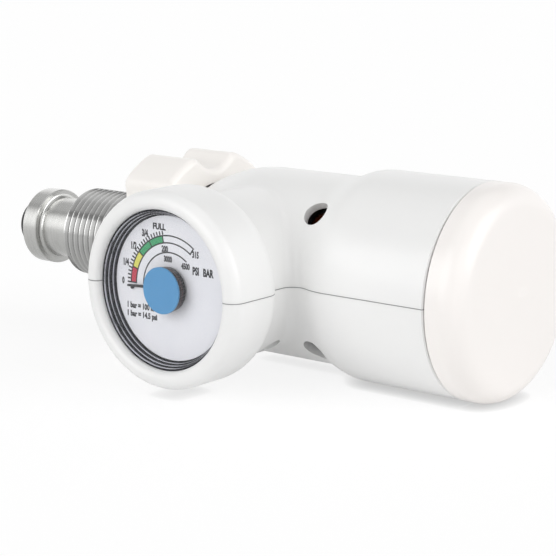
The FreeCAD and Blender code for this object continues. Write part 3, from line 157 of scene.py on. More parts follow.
class Recipe:
    """One material while its nodes are being laid."""

    def __init__(self, name: str) -> None:
        """Starts an empty material.

        Args:
            name: Name of the material.
        """
        self.material = bpy.data.materials.new(name)
        self.material.use_nodes = True
        self.tree = self.material.node_tree
        self.tree.nodes.clear()

    def node(
        self,
        kind: str,
        settings: Mapping[str, Any] | None = None,
        inputs: Mapping[str | int, Any] | None = None,
    ) -> bpy.types.Node:
        """Adds a node.

        Args:
            kind: Blender's name of the node type.
            settings: Properties of the node, set before its sockets.
            inputs: Values or fields of its sockets, by name or place.

        Returns:
            The new node.
        """
        made = self.tree.nodes.new(kind)
        for name, value in (settings or {}).items():
            setattr(made, name, value)
        for key, value in (inputs or {}).items():
            if isinstance(value, Field):
                self.tree.links.new(value.socket, made.inputs[key])
            else:
                made.inputs[key].default_value = value
        return made

    def place(self) -> tuple[Field, Field, Field]:
        """Object coordinates of the shaded point.

        Returns:
            Its X, Y and Z in metres.
        """
        spot = self.node("ShaderNodeTexCoord").outputs["Object"]
        parts = self.node("ShaderNodeSeparateXYZ", None, {0: Field(self, spot)})
        return Field(self, parts.outputs[0]), Field(self, parts.outputs[1]), Field(self, parts.outputs[2])

    def grain(self, scale: float, detail: float = 2.0, stretch: Sequence[float] = (1.0, 1.0, 1.0)) -> Field:
        """Soft noise over the object.

        Args:
            scale: Grains to the metre.
            detail: Octaves of finer grain.
            stretch: Factor along each axis.

        Returns:
            Noise from 0 to 1, about 0.5 on average.
        """
        spot = self.node("ShaderNodeTexCoord").outputs["Object"]
        placing = {"Vector": Field(self, spot), "Scale": tuple(stretch)}
        mapped = self.node("ShaderNodeMapping", None, placing)
        made = self.node(
            "ShaderNodeTexNoise",
            None,
            {"Vector": Field(self, mapped.outputs[0]), "Scale": scale, "Detail": detail, "Roughness": 0.55},
        )
        return Field(self, made.outputs[0])

    def line_grain(self, along: Field, scale: float) -> Field:
        """Noise along one running value, as a lathe leaves it.

        Args:
            along: Running value in metres.
            scale: Lines to the metre.

        Returns:
            Noise from 0 to 1.
        """
        made = self.node(
            "ShaderNodeTexNoise",
            {"noise_dimensions": "1D"},
            {"W": along, "Scale": scale, "Detail": 3.0, "Roughness": 0.6},
        )
        return Field(self, made.outputs[0])

    def mix(self, factor: Field | float, first: Any, second: Any) -> Field:
        """Mixes two colours.

        Args:
            factor: Share of the second colour.
            first: First colour or field.
            second: Second colour or field.

        Returns:
            The mixed colour.
        """
        made = self.node("ShaderNodeMix", {"data_type": "RGBA"}, {0: factor, 6: first, 7: second})
        return Field(self, made.outputs[2])

    def relief(self, height: Field, depth: float) -> Field:
        """Normal of a surface with a small relief.

        Args:
            height: Height from 0 to 1.
            depth: Real height of 1, in metres.

        Returns:
            The bent normal.
        """
        made = self.node("ShaderNodeBump", None, {"Height": height, "Distance": depth, "Strength": 1.0})
        return Field(self, made.outputs[0])

    def finish(self, **sockets: Any) -> bpy.types.Material:
        """Closes the material with a Principled surface.

        Args:
            **sockets: Values or fields by the socket's name with underscores for spaces.

        Returns:
            The finished material.
        """
        inputs = {name.replace("_", " "): value for name, value in sockets.items()}
        shader = self.node("ShaderNodeBsdfPrincipled", None, inputs)
        self.node("ShaderNodeOutputMaterial", None, {"Surface": Field(self, shader.outputs[0])})
        return self.material


class WorldRecipe(Recipe):
    """The surround while its nodes are being laid."""

    def __init__(self, name: str) -> None:
        """Starts an empty surround.

        Args:
            name: Name of the surround.
        """
        self.world = bpy.data.worlds.new(name)
        self.world.use_nodes = True
        self.tree = self.world.node_tree
        self.tree.nodes.clear()
        bpy.context.scene.world = self.world

    def close(self, strength: Field) -> None:
        """Closes the surround with white light of a strength.

        Args:
            strength: Strength in each direction.
        """
        light = self.node("ShaderNodeBackground", None, {"Color": WHITE, "Strength": strength})
        self.node("ShaderNodeOutputWorld", None, {"Surface": Field(self, light.outputs[0])})


class Axis(Enum):
    """Axis that a turned piece was cut about."""

    MAIN = "main"
    GAUGE = "gauge"
    RELIEF = "relief"
    PLUG = "plug"
    OUTLET = "outlet"


@dataclass(frozen=True)
class AxisPlace:
    """Where the turning axes lie, in metres."""

    gauge_x: float = 0.082
    port_x: float = 0.1035
    outlet_x: float = 0.1315

    def running(self, recipe: Recipe, axis: Axis) -> tuple[Field, Field]:
        """Distance along an axis and from it.

        Args:
            recipe: Material that is being made.
            axis: Which axis.

        Returns:
            Distance along the axis and radius about it, in metres.
        """
        x, y, z = recipe.place()
        if axis is Axis.MAIN:
            return x, (y * y + z * z).root()
        if axis is Axis.GAUGE:
            side = x - self.gauge_x
            return y, (side * side + z * z).root()
        if axis is Axis.OUTLET:
            side = x - self.outlet_x
            return y, (side * side + z * z).root()
        tilt = 1.0 if axis is Axis.RELIEF else -1.0
        half = math.sqrt(0.5)
        along = (z * tilt - y) * half
        across = (z * tilt + y) * half
        side = x - self.port_x
        return along, (side * side + across * across).root()


PLACES = AxisPlace()


@dataclass(frozen=True)
class MouldedPlastic:
    """Glossy moulded plastic with faint clouding, a fine moulded skin and an optional parting line."""

    name: str
    colour: Colour
    shade: Colour
    roughness: float = 0.36
    coat: float = 0.12
    coat_roughness: float = 0.08
    refraction: float = 1.5
    cloud_scale: float = 38.0
    speck_scale: float = 900.0
    skin_scale: float = 420.0
    wave_scale: float = 70.0
    skin_depth: float = 0.000012
    seam: bool = False
    seam_half_width: float = 0.00010
    seam_depth: float = 0.00012
    seam_colour: Colour = paint(128, 128, 130)

    def material(self) -> bpy.types.Material:
        """Makes the material.

        Returns:
            The finished material.
        """
        recipe = Recipe(self.name)
        cloud = recipe.grain(self.cloud_scale, 3.0)
        speck = recipe.grain(self.speck_scale, 2.0)
        colour = recipe.mix(cloud.fade(0.30, 0.75) * 0.55, self.colour, self.shade)
        skin = recipe.grain(self.skin_scale, 2.0) * 0.5 + recipe.grain(self.wave_scale, 1.0) * 0.5
        roughness = self.roughness + (cloud - 0.5) * 0.10 + (speck - 0.5) * 0.05
        depth = self.skin_depth
        if self.seam:
            height = abs(recipe.place()[2])
            line = 1.0 - height.fade(0.4 * self.seam_half_width, 1.4 * self.seam_half_width)
            soft = 1.0 - height.fade(0.0, 8.0 * self.seam_half_width)
            colour = recipe.mix(line * 0.85 + soft * 0.05, colour, self.seam_colour)
            roughness = roughness + line * 0.3
            skin = skin * 0.08 + (1.0 - line)
            depth = self.seam_depth
        return recipe.finish(
            Base_Color=colour,
            Roughness=roughness,
            Coat_Weight=self.coat,
            Coat_Roughness=self.coat_roughness,
            IOR=self.refraction,
            Normal=recipe.relief(skin, depth),
        )


@dataclass(frozen=True)
class TurnedMetal:
    """Metal turned on a lathe: fine rings, a brighter and a duller band here and there."""

    name: str
    colour: Colour
    shade: Colour
    axis: Axis = Axis.MAIN
    roughness: float = 0.22
    rings: float = 3200.0
    broad_share: float = 0.16
    patina_scale: float = 160.0
    depth: float = 0.000006

    def material(self) -> bpy.types.Material:
        """Makes the material.

        Returns:
            The finished material.
        """
        recipe = Recipe(self.name)
        along, out = PLACES.running(recipe, self.axis)
        run = along + out
        fine = recipe.line_grain(run, self.rings)
        broad = recipe.line_grain(run, self.broad_share * self.rings)
        patina = recipe.grain(self.patina_scale, 3.0)
        wear = (fine * 0.3 + broad * 0.35 + patina * 0.35).fade(0.38, 0.95)
        return recipe.finish(
            Base_Color=recipe.mix(wear, self.colour, self.shade),
            Metallic=1.0,
            Roughness=self.roughness + (broad - 0.5) * 0.16 + (fine - 0.5) * 0.10,
            Normal=recipe.relief(fine * 0.7 + broad * 0.3, self.depth),
        )


@dataclass(frozen=True)
class CutThread:
    """Turned steel with the crests painted lighter than the flanks as a painted highlight, and the roots
    painted dark as painted shade.
    """

    name: str
    # crest is a painted highlight colour; flank and root are painted shade colours
    crest: Colour
    flank: Colour
    root: Colour
    crest_r: float = 0.011455
    root_r: float = 0.010295
    roughness: float = 0.17
    rings: float = 5200.0
    patina_scale: float = 190.0
    ring_depth: float = 0.000005

    def material(self) -> bpy.types.Material:
        """Makes the material.

        Returns:
            The finished material.
        """
        recipe = Recipe(self.name)
        along, out = PLACES.running(recipe, Axis.MAIN)
        fine = recipe.line_grain(along + out, self.rings)
        patina = recipe.grain(self.patina_scale, 3.0)
        worn = recipe.mix((fine * 0.4 + patina * 0.6).fade(0.40, 0.85) * 0.5, self.crest, self.flank)
        depth = self.crest_r - self.root_r
        # painted shade: darker towards the roots of the thread
        low = 1.0 - out.fade(self.root_r + 0.05 * depth, self.root_r + 0.45 * depth)
        # painted shade on the flanks below the crest, which leaves the crest as a painted highlight
        painted_flank_shade = 1.0 - out.fade(self.crest_r - 0.30 * depth, self.crest_r - 0.06 * depth)
        side = recipe.mix(painted_flank_shade, worn, self.flank)
        return recipe.finish(
            Base_Color=recipe.mix(low, side, self.root),
            Metallic=1.0,
            Roughness=self.roughness + low * 0.18 + (fine - 0.5) * 0.08,
            Normal=recipe.relief(fine, self.ring_depth),
        )


@dataclass(frozen=True)
class SteppedChrome:
    """Chromed ring painted dark as a painted reflection of the dark inside, with painted highlights along
    its step edges.
    """

    name: str
    colour: Colour
    shade: Colour
    # colour of the painted highlights on the step edges
    edge: Colour
    edges: tuple[float, ...] = (0.01798, 0.01757, 0.01713, 0.01672)
    half_width: float = 0.00008
    rings: float = 2600.0
    patina_scale: float = 300.0
    roughness: float = 0.15

    def material(self) -> bpy.types.Material:
        """Makes the material.

        Returns:
            The finished material.
        """
        recipe = Recipe(self.name)
        along, out = PLACES.running(recipe, Axis.GAUGE)
        bands = recipe.line_grain(out + along * 0.4, self.rings)
        # dark base colour: a painted dark reflection
        base = recipe.mix(bands.fade(0.35, 0.65), self.colour, self.shade)
        # painted highlights along the step edges
        painted_edge_highlight = out.ridge(self.edges[0], self.half_width)
        for radius in self.edges[1:]:
            painted_edge_highlight = painted_edge_highlight.most(out.ridge(radius, self.half_width))
        patina = recipe.grain(self.patina_scale, 2.0)
        return recipe.finish(
            Base_Color=recipe.mix(painted_edge_highlight * 0.9, base, self.edge),
            Metallic=1.0,
            Roughness=self.roughness + (patina - 0.5) * 0.10,
        )


@dataclass(frozen=True)
class MilledMetal:
    """Bright plain metal with faint straight cutter marks."""

    name: str
    colour: Colour
    shade: Colour
    roughness: float = 0.30
    mark_scale: float = 420.0
    mark_stretch: Triple = (1.0, 8.0, 1.0)
    mark_depth: float = 0.000008
    patina_scale: float = 110.0

    def material(self) -> bpy.types.Material:
        """Makes the material.

        Returns:
            The finished material.
        """
        recipe = Recipe(self.name)
        marks = recipe.grain(self.mark_scale, 2.0, self.mark_stretch)
        patina = recipe.grain(self.patina_scale, 3.0)
        return recipe.finish(
            Base_Color=recipe.mix((marks * 0.5 + patina * 0.5).fade(0.35, 0.7), self.colour, self.shade),
            Metallic=1.0,
            Roughness=self.roughness + (patina - 0.5) * 0.18,
            Normal=recipe.relief(marks, self.mark_depth),
        )


@dataclass(frozen=True)
class PorousMetal:
    """Sintered grains of bronze."""

    name: str
    colour: Colour
    shade: Colour
    grain_scale: float = 2600.0
    roughness: float = 0.45
    pit_depth: float = 0.00012

    def material(self) -> bpy.types.Material:
        """Makes the material.

        Returns:
            The finished material.
        """
        recipe = Recipe(self.name)
        spot = recipe.node("ShaderNodeTexCoord").outputs["Object"]
        inputs = {"Vector": Field(recipe, spot), "Scale": self.grain_scale}
        grains = recipe.node("ShaderNodeTexVoronoi", None, inputs)
        pit = Field(recipe, grains.outputs[0])
        return recipe.finish(
            Base_Color=recipe.mix(pit.fade(0.15, 0.55), self.colour, self.shade),
            Metallic=1.0,
            Roughness=pit * 0.3 + self.roughness,
            Normal=recipe.relief(1.0 - pit, self.pit_depth),
        )


@dataclass(frozen=True)
class SoftSeal:
    """Rubber or soft plastic: matt, with a dusty bloom."""

    name: str
    colour: Colour
    bloom: Colour
    roughness: float = 0.55
    dust_scale: float = 300.0
    skin_scale: float = 2400.0
    skin_depth: float = 0.000010

    def material(self) -> bpy.types.Material:
        """Makes the material.

        Returns:
            The finished material.
        """
        recipe = Recipe(self.name)
        dust = recipe.grain(self.dust_scale, 3.0)
        return recipe.finish(
            Base_Color=recipe.mix(dust.fade(0.45, 0.8) * 0.6, self.colour, self.bloom),
            Roughness=self.roughness + (dust - 0.5) * 0.2,
            Normal=recipe.relief(recipe.grain(self.skin_scale, 2.0), self.skin_depth),
        )


@dataclass(frozen=True)
class DrawnWire:
    """Spring wire with a drawn skin."""

    name: str
    colour: Colour
    shade: Colour
    roughness: float = 0.30
    skin_scale: float = 1500.0
    skin_depth: float = 0.000008

    def material(self) -> bpy.types.Material:
        """Makes the material.

        Returns:
            The finished material.
        """
        recipe = Recipe(self.name)
        skin = recipe.grain(self.skin_scale, 3.0)
        return recipe.finish(
            Base_Color=recipe.mix(skin.fade(0.35, 0.7), self.colour, self.shade),
            Metallic=1.0,
            Roughness=self.roughness + (skin - 0.5) * 0.25,
            Normal=recipe.relief(skin, self.skin_depth),
        )


@dataclass(frozen=True)
class PrintedPaint:
    """Even satin paint or ink with a faint mottle."""

    name: str
    colour: Colour
    shade: Colour
    roughness: float = 0.45
    mottle_scale: float = 1300.0
    wash_scale: float = 90.0
    mottle_depth: float = 0.000003

    def material(self) -> bpy.types.Material:
        """Makes the material.

        Returns:
            The finished material.
        """
        recipe = Recipe(self.name)
        mottle = recipe.grain(self.mottle_scale, 2.0)
        wash = recipe.grain(self.wash_scale, 2.0)
        return recipe.finish(
            Base_Color=recipe.mix((mottle * 0.5 + wash * 0.5).fade(0.35, 0.7), self.colour, self.shade),
            Roughness=self.roughness + (mottle - 0.5) * 0.12,
            Normal=recipe.relief(mottle, self.mottle_depth),
        )


@dataclass(frozen=True)
class HubGloss:
    """Glossy black plastic with a fine slanting grip, its rib tops tinted slightly reddish and a reddish
    line round its side at one height.
    """

    name: str
    colour: Colour
    line: Colour
    line_y: float = -0.0442
    line_half_width: float = 0.00016
    ribs: int = 44
    slant: float = 1100.0
    rib_depth: float = 0.00006
    roughness: float = 0.20
    specular: float = 0.2
    smear_scale: float = 500.0

    def material(self) -> bpy.types.Material:
        """Makes the material.

        Returns:
            The finished material.
        """
        recipe = Recipe(self.name)
        x, y, z = recipe.place()
        mask = y.ridge(self.line_y, self.line_half_width)
        around = (x - PLACES.gauge_x).turned(z)
        ribs = (around * float(self.ribs) + y * self.slant).sine() * 0.5 + 0.5
        smear = recipe.grain(self.smear_scale, 2.0)
        marks = ribs.fade(0.86, 1.0) * 0.30
        return recipe.finish(
            Base_Color=recipe.mix(marks.most(mask * 0.8), self.colour, self.line),
            Roughness=self.roughness + (smear - 0.5) * 0.12 + ribs * 0.1,
            Specular_IOR_Level=self.specular,
            Normal=recipe.relief(ribs * (1.0 - mask), self.rib_depth),
        )


@dataclass(frozen=True)
class ClearPane:
    """Thin clear plastic: mostly open, with a gloss that takes the lamps."""

    name: str
    colour: Colour = paint(236, 240, 244)
    alpha: float = 0.03
    roughness: float = 0.03
    refraction: float = 1.49
    smear_scale: float = 60.0

    def material(self) -> bpy.types.Material:
        """Makes the material.

        Returns:
            The finished material.
        """
        recipe = Recipe(self.name)
        smear = recipe.grain(self.smear_scale, 2.0)
        return recipe.finish(
            Base_Color=self.colour,
            Roughness=self.roughness + smear * 0.04,
            Alpha=self.alpha + (smear - 0.5) * 0.01,
            IOR=self.refraction,
        )


class Finishes:
    """All finishes of the regulator, each made once."""

    def __init__(self) -> None:
        """Makes the materials."""
        steel, steel_dark = paint(198, 198, 196), paint(160, 160, 158)
        bright, bright_dark = paint(206, 206, 208), paint(158, 159, 162)
        brass, brass_dark = paint(206, 164, 92), paint(150, 108, 52)
        self.case = MouldedPlastic(
            "case_white", paint(241, 241, 240), paint(237, 237, 237), seam=True
        ).material()
        self.wheel = MouldedPlastic(
            "wheel_white", paint(251, 248, 244), paint(248, 244, 240), roughness=0.34, coat=0.15
        ).material()
        self.knob = MouldedPlastic(
            "knob_white", paint(248, 244, 241), paint(246, 242, 239), roughness=0.32, coat=0.1
        ).material()
        self.steel = TurnedMetal("turned_steel", steel, steel_dark, roughness=0.26).material()
        # thread colours: the crest lighter as a painted highlight, the flank and the dark root as painted
        # shade
        self.thread = CutThread(
            "thread_steel", paint(194, 194, 193), paint(176, 176, 175), paint(92, 92, 91)
        ).material()
        self.bright = TurnedMetal("bright_steel", bright, bright_dark, roughness=0.16).material()
        self.gauge_steel = TurnedMetal(
            "gauge_steel", bright, bright_dark, axis=Axis.GAUGE, roughness=0.18
        ).material()
        self.outlet_steel = TurnedMetal(
            "outlet_steel", bright, bright_dark, axis=Axis.OUTLET, roughness=0.16
        ).material()
        # port plug painted near black as the painted shade inside its hole
        self.painted_shade_plug = TurnedMetal(
            "plug_painted_shade", paint(44, 44, 46), paint(24, 24, 26), axis=Axis.PLUG, roughness=0.3
        ).material()
        # bezel colours: dark tones as a painted dark reflection, the light one for the painted edge
        # highlights
        self.bezel = SteppedChrome(
            "bezel_chrome", paint(54, 52, 60), paint(22, 21, 28), paint(206, 206, 212)
        ).material()
        self.brass = TurnedMetal("brass", brass, brass_dark, roughness=0.26).material()
        self.gauge_brass = TurnedMetal("gauge_brass", brass, brass_dark, axis=Axis.GAUGE).material()
        # relief valve brass painted dark brown as the painted shade inside its hole
        self.relief_brass_painted_shade = TurnedMetal(
            "relief_brass_painted_shade", paint(104, 62, 38), paint(52, 32, 22), axis=Axis.RELIEF, roughness=0.3
        ).material()
        self.sheet_brass = MilledMetal("sheet_brass", brass, brass_dark).material()
        self.body = TurnedMetal(
            "body_alloy", paint(190, 191, 193), paint(150, 151, 154), roughness=0.34, rings=2200.0
        ).material()
        self.bronze = PorousMetal("sintered_bronze", paint(168, 130, 88), paint(82, 60, 38)).material()
        self.spring = DrawnWire("spring_steel", paint(150, 150, 153), paint(104, 104, 108)).material()
        self.rubber = SoftSeal("seal_black", paint(26, 26, 27), paint(58, 58, 60)).material()
        self.seat = SoftSeal(
            "seat_white", paint(228, 228, 218), paint(208, 207, 198), roughness=0.5
        ).material()
        self.bearing = SoftSeal("bearing_plastic", paint(60, 60, 62), paint(84, 84, 86)).material()
        self.dial = PrintedPaint("dial_white", paint(240, 240, 245), paint(234, 235, 241)).material()
        self.pointer = PrintedPaint("pointer_black", paint(20, 20, 22), paint(34, 34, 36), 0.4).material()
        self.hub = HubGloss("hub_black", paint(16, 14, 17), paint(104, 62, 62)).material()
        self.hub_blue = PrintedPaint("hub_blue", paint(70, 144, 196), paint(78, 149, 200), 0.5).material()
        self.window = ClearPane("clear_window").material()
        self.ink = PrintedPaint("dial_ink", paint(22, 22, 26), paint(32, 32, 36), 0.5).material()
        self.red = PrintedPaint("dial_red", paint(196, 52, 76), paint(188, 48, 70), 0.5).material()
        self.yellow = PrintedPaint("dial_yellow", paint(228, 224, 104), paint(220, 216, 98), 0.5).material()
        self.green = PrintedPaint("dial_green", paint(56, 162, 106), paint(50, 154, 100), 0.5).material()

    def by_node(self) -> dict[str, bpy.types.Material]:
        """Finish of every node of the model.

        Returns:
            The material by the node's name.
        """
        groups = {
            self.case: ["upper_shell", "lower_shell"],
            self.wheel: ["handwheel"],
            self.knob: ["flow_knob"],
            self.steel: ["inlet_stem", "threaded_sleeve"],
            self.bright: ["selector_shaft", "stop_pin", "detent_ball"],
            self.gauge_steel: ["gauge_case", "pointer_arbor"],
            self.outlet_steel: ["outlet_nipple"],
            self.painted_shade_plug: ["port_plug"],
            self.bezel: ["bezel_ring"],
            self.brass: ["valve_seat", "piston_guide", "piston", "orifice_disc"],
            self.gauge_brass: ["gauge_socket", "bourdon_tube"],
            self.relief_brass_painted_shade: ["relief_body", "relief_cap"],
            self.sheet_brass: ["movement_frame", "sector_gear"],
            self.body: ["regulator_body", "flow_head"],
            self.bronze: ["inlet_filter"],
            self.spring: [
                "piston_spring", "relief_spring", "detent_spring", "retaining_ring", "case_screws"
            ],
            self.rubber: ["nose_seal", "guide_seal", "piston_seal", "relief_poppet", "shaft_seal"],
            self.seat: ["inlet_gasket", "seat_pad", "flow_seal"],
            self.bearing: ["thrust_bush"],
            self.dial: ["dial_plate"],
            self.pointer: ["pointer"],
            self.hub: ["pointer_hub"],
            self.hub_blue: ["hub_disc"],
            self.window: ["gauge_window"],
        }
        return {node: material for material, nodes in groups.items() for node in nodes}


def dress(piece: bpy.types.Object, material: bpy.types.Material) -> None:
    """Gives a piece one material.

    Args:
        piece: Object to dress.
        material: Its finish.
    """
    if not piece.material_slots:
        piece.data.materials.append(material)
    for slot in piece.material_slots:
        slot.material = material


def add_piece(name: str, mesh: bpy.types.Mesh, body: str) -> bpy.types.Object:
    """Puts a finished mesh in the scene.

    Args:
        name: Name of the piece.
        mesh: Its mesh, with its place in it.
        body: Body that it rides on.

    Returns:
        The new object.
    """
    piece = bpy.data.objects.new(name, mesh)
    bpy.context.scene.collection.objects.link(piece)
    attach(piece, body)
    return piece


def mesh_from(tool: bmesh.types.BMesh, name: str) -> bpy.types.Mesh:
    """Turns a bmesh into a mesh and frees it.

    Args:
        tool: Finished bmesh.
        name: Name of the mesh.

    Returns:
        The mesh.
    """
    mesh = bpy.data.meshes.new(name)
    tool.to_mesh(mesh)
    tool.free()
    return mesh


@dataclass(frozen=True)
class InletThread:
    """Threaded sleeve with its helix cut in, in millimetres and degrees."""

    crest_r: float = 11.455
    pitch: float = 1.814
    depth: float = 1.16
    root_width: float = 0.32
    half_angle: float = 27.5
    start_x: float = 13.2
    end_x: float = 43.95
    over: float = 0.12
    steps: int = 64
    weld: float = 0.001
    sharp_angle: float = 32.0

    def groove(self) -> bpy.types.Mesh:
        """Winds the cutter of the thread's groove.

        Returns:
            Its mesh.
        """
        tool = bmesh.new()
        half_root = 0.5 * self.root_width
        half_top = half_root + (self.depth + self.over) * math.tan(math.radians(self.half_angle))
        root = self.crest_r - self.depth
        top = self.crest_r + self.over
        corners = [(-half_root, root), (half_root, root), (half_top, top), (-half_top, top)]
        vertices = [tool.verts.new(Vector((self.start_x + x, 0.0, r)) * MM) for x, r in corners]
        face = tool.faces.new(vertices)
        turns = (self.end_x - self.start_x) / self.pitch
        count = round(turns * self.steps)
        bmesh.ops.spin(
            tool,
            geom=[face, *face.edges, *face.verts],
            cent=(0.0, 0.0, 0.0),
            axis=(1.0, 0.0, 0.0),
            dvec=Vector((self.pitch / self.steps, 0.0, 0.0)) * MM,
            angle=-2.0 * math.pi * count / self.steps,
            steps=count,
            use_duplicate=False,
        )
        bmesh.ops.remove_doubles(tool, verts=tool.verts, dist=WELD)
        bmesh.ops.recalc_face_normals(tool, faces=tool.faces)
        return mesh_from(tool, "thread_groove")

    def build(self) -> bpy.types.Object:
        """Cuts the groove in a copy of the sleeve.

        Returns:
            The threaded piece.
        """
        tool = bmesh.new()
        tool.from_mesh(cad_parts["threaded_sleeve"].data)
        bmesh.ops.remove_doubles(tool, verts=tool.verts, dist=self.weld * MM)
        mesh = mesh_from(tool, "inlet_thread")
        blank = bpy.data.objects.new("sleeve_blank", mesh)
        cutter = bpy.data.objects.new("groove_cutter", self.groove())
        for made in (blank, cutter):
            bpy.context.scene.collection.objects.link(made)
        cut = blank.modifiers.new("groove", "BOOLEAN")
        cut.operation = "DIFFERENCE"
        cut.solver = "EXACT"
        cut.object = cutter
        bpy.context.view_layer.update()
        done = blank.evaluated_get(bpy.context.evaluated_depsgraph_get())
        cut_mesh = bpy.data.meshes.new_from_object(done)
        for made in (blank, cutter):
            bpy.data.objects.remove(made)
        cut_mesh.name = "inlet_thread"
        for polygon in cut_mesh.polygons:
            polygon.use_smooth = True
        cut_mesh.set_sharp_from_angle(angle=math.radians(self.sharp_angle))
        piece = add_piece("inlet_thread", cut_mesh, "wheel")
        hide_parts("threaded_sleeve")
        return piece

    def dress(self, piece: bpy.types.Object, finishes: Finishes) -> None:
        """Thread steel."""
        piece.data.materials.clear()
        dress(piece, finishes.thread)


@dataclass(frozen=True)
class SprungCoil:
    """Coil between a seat in the regulator and a moving piece, copied from the model as it is."""

    node: str
    mover: str
    towards_seat: Triple

    def build(self) -> bpy.types.Object:
        """Copies the coil.

        Returns:
            The coil.
        """
        tool = bmesh.new()
        tool.from_mesh(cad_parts[self.node].data)
        bmesh.ops.remove_doubles(tool, verts=tool.verts, dist=WELD)
        piece = bpy.data.objects.new(f"{self.node}_coil", mesh_from(tool, f"{self.node}_coil"))
        bpy.context.scene.collection.objects.link(piece)
        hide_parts(self.node)
        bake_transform(piece)
        return piece

    def dress(self, piece: bpy.types.Object, finishes: Finishes) -> None:
        """Spring steel."""
        dress(piece, finishes.spring)


COILS = (
    SprungCoil("piston_spring", "piston_unit", (-1.0, 0.0, 0.0)),
    SprungCoil("relief_spring", "poppet", (0.0, -1.0, 1.0)),
    SprungCoil("detent_spring", "ball", (1.0, 0.0, 0.0)),
)


@dataclass(frozen=True)
class Word:
    """One printed label: its text, its place about the dial's centre, its capitals' height and its width.

    The place is an angle in degrees and a reach in mm, and the width is a share of the font's own.
    """

    text: str
    degrees: float
    reach: float
    height: float = 1.4
    condense: float = 0.66


LABELS = (
    Word("0", 180.0, 14.6, 1.45),
    Word("1/4", 162.0, 14.4, 1.55),
    Word("1/2", 142.7, 14.1, 1.55),
    Word("3/4", 122.9, 14.1, 1.55),
    Word("FULL", 103.4, 14.2, 1.35, 0.92),
    Word("200", 100.4, 9.0, 1.35),
    Word("3000", 96.2, 6.65, 1.3),
    Word("4500", 50.6, 7.2, 1.3),
    Word("315", 48.6, 11.4, 1.4),
    Word("PSI", 32.4, 9.0, 1.7),
    Word("BAR", 23.2, 12.2, 1.7),
)
NOTES = ("1 bar = 100 kPa", "1 bar = 14.5 psi")


